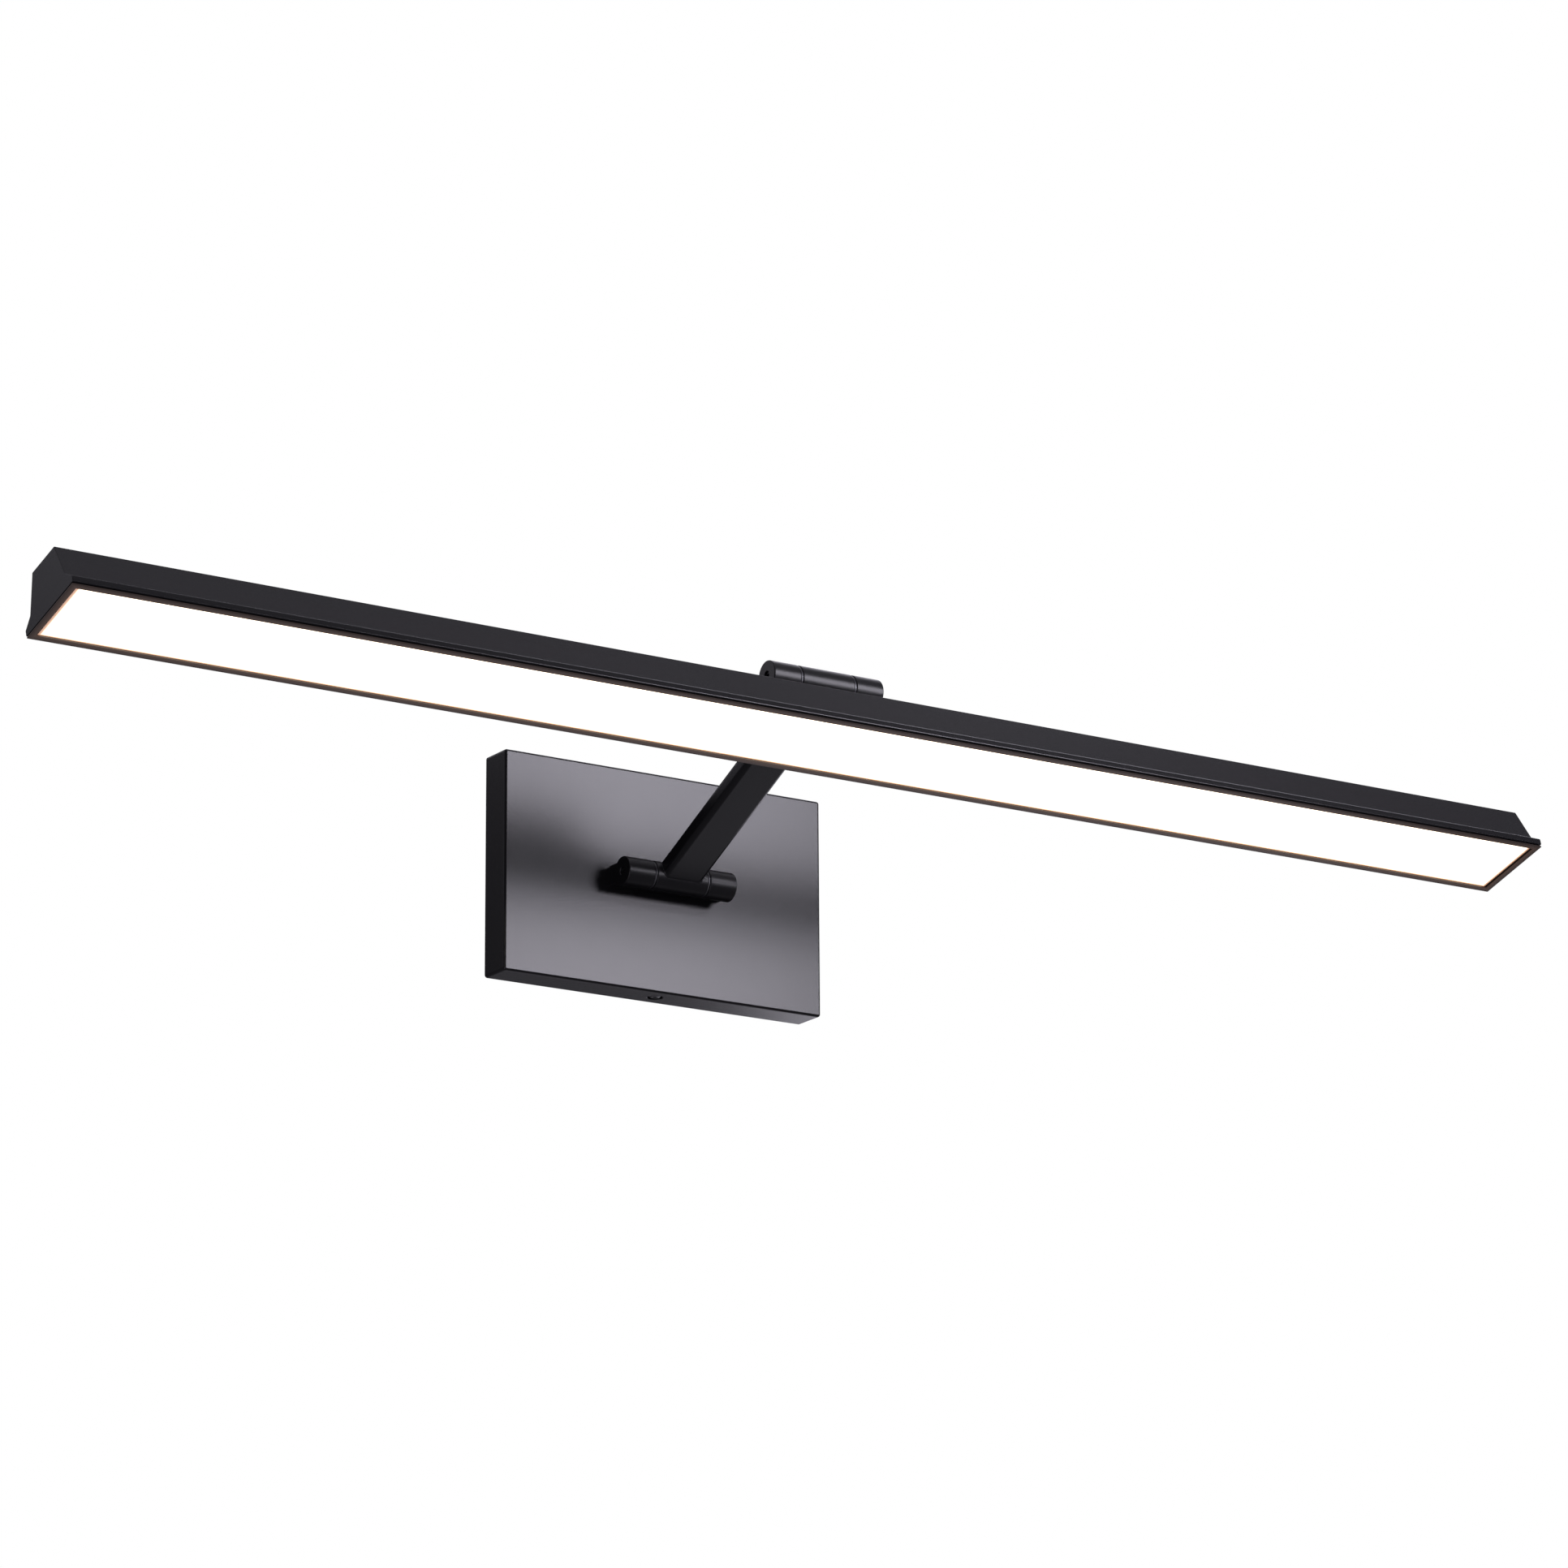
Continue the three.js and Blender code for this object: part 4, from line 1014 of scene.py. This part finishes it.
KEPT = {"led_board": circuit, "reflector": white_liner, "board_connector": white_liner}
for node, material in KEPT.items():
    kept = frame["nodes"][node]
    kept.data.materials.clear()
    kept.data.materials.append(material)

# ---------------------------------------------------------------- stage, light and camera

FLOOR_DROP = 1.6  # metres below the wall plate's middle
COOL = (0.92, 0.89, 1.0)
PLATE_FACE = Vector((-0.03, -0.02, -0.02))
UPPER_HINGE = Vector((0, -0.18, 0.07))
HEAD_LEFT = Vector((-0.452, -0.19, 0.05))
HEAD_RIGHT = Vector((0.452, -0.19, 0.05))
ARM_MIDDLE = Vector((0, -0.11, 0.04))
CAMERA = dict(location=(-1747.4, -2842.6, -895.9), azimuth=32.88, rise=16.0, roll=-0.34, lens=146.35)


def make_floor():
    """A pale disc with a little light of its own, seen only by the camera."""
    floor = lathe("floor", [(-0.01, 0), (-0.01, 30), (0, 30), (0, 0)], axis="Z", sides=96)
    floor.data.transform(Matrix.Translation((0, 0, -FLOOR_DROP)))
    paint = surface("floor_paint", (0.86, 0.86, 0.86), 0.7, tint=0.0, spread=0.0, bump=0.0)
    glow = paint.node_tree.nodes["Principled BSDF"].inputs
    glow["Emission Color"].default_value = (1, 1, 1, 1)
    glow["Emission Strength"].default_value = 0.55
    floor.data.materials.append(paint)
    floor.visible_diffuse = False
    floor.visible_glossy = False


def softbox(name, centre, target, width, height, radiance):
    """A rectangle of even light that faces its target. The camera doesn't see it."""
    light = bpy.data.lights.new(name, "AREA")
    light.shape = "RECTANGLE"
    light.size = width
    light.size_y = height
    light.energy = radiance * math.pi * width * height
    light.color = COOL
    lamp = bpy.data.objects.new(name, light)
    lamp.location = centre
    aim = Vector(target) - Vector(centre)
    lamp.rotation_euler = aim.to_track_quat("-Z", "Y").to_euler()
    SCENE.collection.objects.link(lamp)
    lamp.visible_camera = False


def light_scene():
    """Soft boxes where the camera sees the faces mirror them, and a few for the other sides."""
    front = PLATE_FACE + Vector((0.52, -0.81, 0.28)) * 1.3 + Vector((-0.04, -0.02, 0))
    softbox("front_softbox", front, PLATE_FACE, 0.40, 0.56, 10.5)
    above = UPPER_HINGE + Vector((0.60, 0.58, 0.68)) * 1.6
    softbox("upper_softbox", above, UPPER_HINGE, 1.1, 0.85, 1.65)
    softbox("left_softbox", (-1.1, 0.6, 0.55), HEAD_LEFT, 0.7, 0.8, 0.26)
    softbox("arm_softbox", (-0.46, 0.6, 0.58), ARM_MIDDLE, 0.5, 0.5, 0.7)
    lower = PLATE_FACE + Vector((0.52, 0.50, -0.66)) * 1.2
    softbox("lower_softbox", lower, PLATE_FACE, 0.9, 0.8, 0.30)
    back = PLATE_FACE + Vector((0.78, 0.62, -0.18)) * 1.3
    softbox("back_softbox", back, PLATE_FACE, 0.7, 0.8, 1.05)
    low_left = PLATE_FACE + Vector((-0.64, -0.64, -0.42)) * 1.5
    softbox("low_left_softbox", low_left, PLATE_FACE, 0.9, 0.9, 1.4)
    softbox("right_softbox", (1.75, -0.25, 0), HEAD_RIGHT, 0.8, 0.8, 1.5)
    softbox("facing_softbox", (0, -2.4, -0.1), PLATE_FACE, 0.9, 0.5, 1.1)
    softbox("ceiling_softbox", UPPER_HINGE + Vector((0, -0.50, 1.45)), UPPER_HINGE, 1.2, 0.4, 0.9)


def make_world():
    """Pure white to the camera, and a dim studio that brightens overhead to everything else."""
    world = bpy.data.worlds.new("studio")
    SCENE.world = world
    world.use_nodes = True
    tree = world.node_tree
    tree.nodes.clear()
    output = tree.nodes.new("ShaderNodeOutputWorld")
    mix = tree.nodes.new("ShaderNodeMixShader")
    path = tree.nodes.new("ShaderNodeLightPath")
    seen = tree.nodes.new("ShaderNodeBackground")
    felt = tree.nodes.new("ShaderNodeBackground")
    seen.inputs["Color"].default_value = (1, 1, 1, 1)
    direction = tree.nodes.new("ShaderNodeTexCoord")
    height = tree.nodes.new("ShaderNodeSeparateXYZ")
    span = tree.nodes.new("ShaderNodeMapRange")
    span.inputs["From Min"].default_value = -1
    span.inputs["From Max"].default_value = 1
    ramp = tree.nodes.new("ShaderNodeValToRGB")
    levels = ((0.0, 0.12), (0.5, 0.08), (0.70, 0.08), (0.84, 0.15), (0.93, 0.27), (1.0, 0.34))
    set_stops(ramp, [(position, [level * part for part in COOL]) for position, level in levels])
    link(tree, direction, "Generated", height, "Vector")
    link(tree, height, "Z", span, "Value")
    link(tree, span, "Result", ramp, "Fac")
    link(tree, ramp, "Color", felt, "Color")
    link(tree, path, "Is Camera Ray", mix, "Fac")
    tree.links.new(felt.outputs["Background"], mix.inputs[1])
    tree.links.new(seen.outputs["Background"], mix.inputs[2])
    link(tree, mix, "Shader", output, "Surface")


def make_camera():
    """Looks towards azimuth (from +Y towards +X) and upwards by rise, turned a little by roll."""
    azimuth, rise, roll = (math.radians(CAMERA[k]) for k in ("azimuth", "rise", "roll"))
    level = Vector((math.sin(azimuth), math.cos(azimuth), 0))
    ahead = level * math.cos(rise) + Vector((0, 0, math.sin(rise)))
    across = Vector((math.cos(azimuth), -math.sin(azimuth), 0))
    up = across.cross(ahead)
    right = across * math.cos(roll) + up * math.sin(roll)
    over = up * math.cos(roll) - across * math.sin(roll)
    turn = Matrix((right, over, -ahead)).transposed().to_4x4()
    data = bpy.data.cameras.new("camera")
    data.lens = CAMERA["lens"]
    data.sensor_width = 36
    camera = bpy.data.objects.new("camera", data)
    camera.matrix_world = Matrix.Translation(Vector(CAMERA["location"]) * MM) @ turn
    SCENE.collection.objects.link(camera)
    SCENE.camera = camera


make_floor()
light_scene()
make_world()
make_camera()
SCENE.view_settings.view_transform = "Standard"
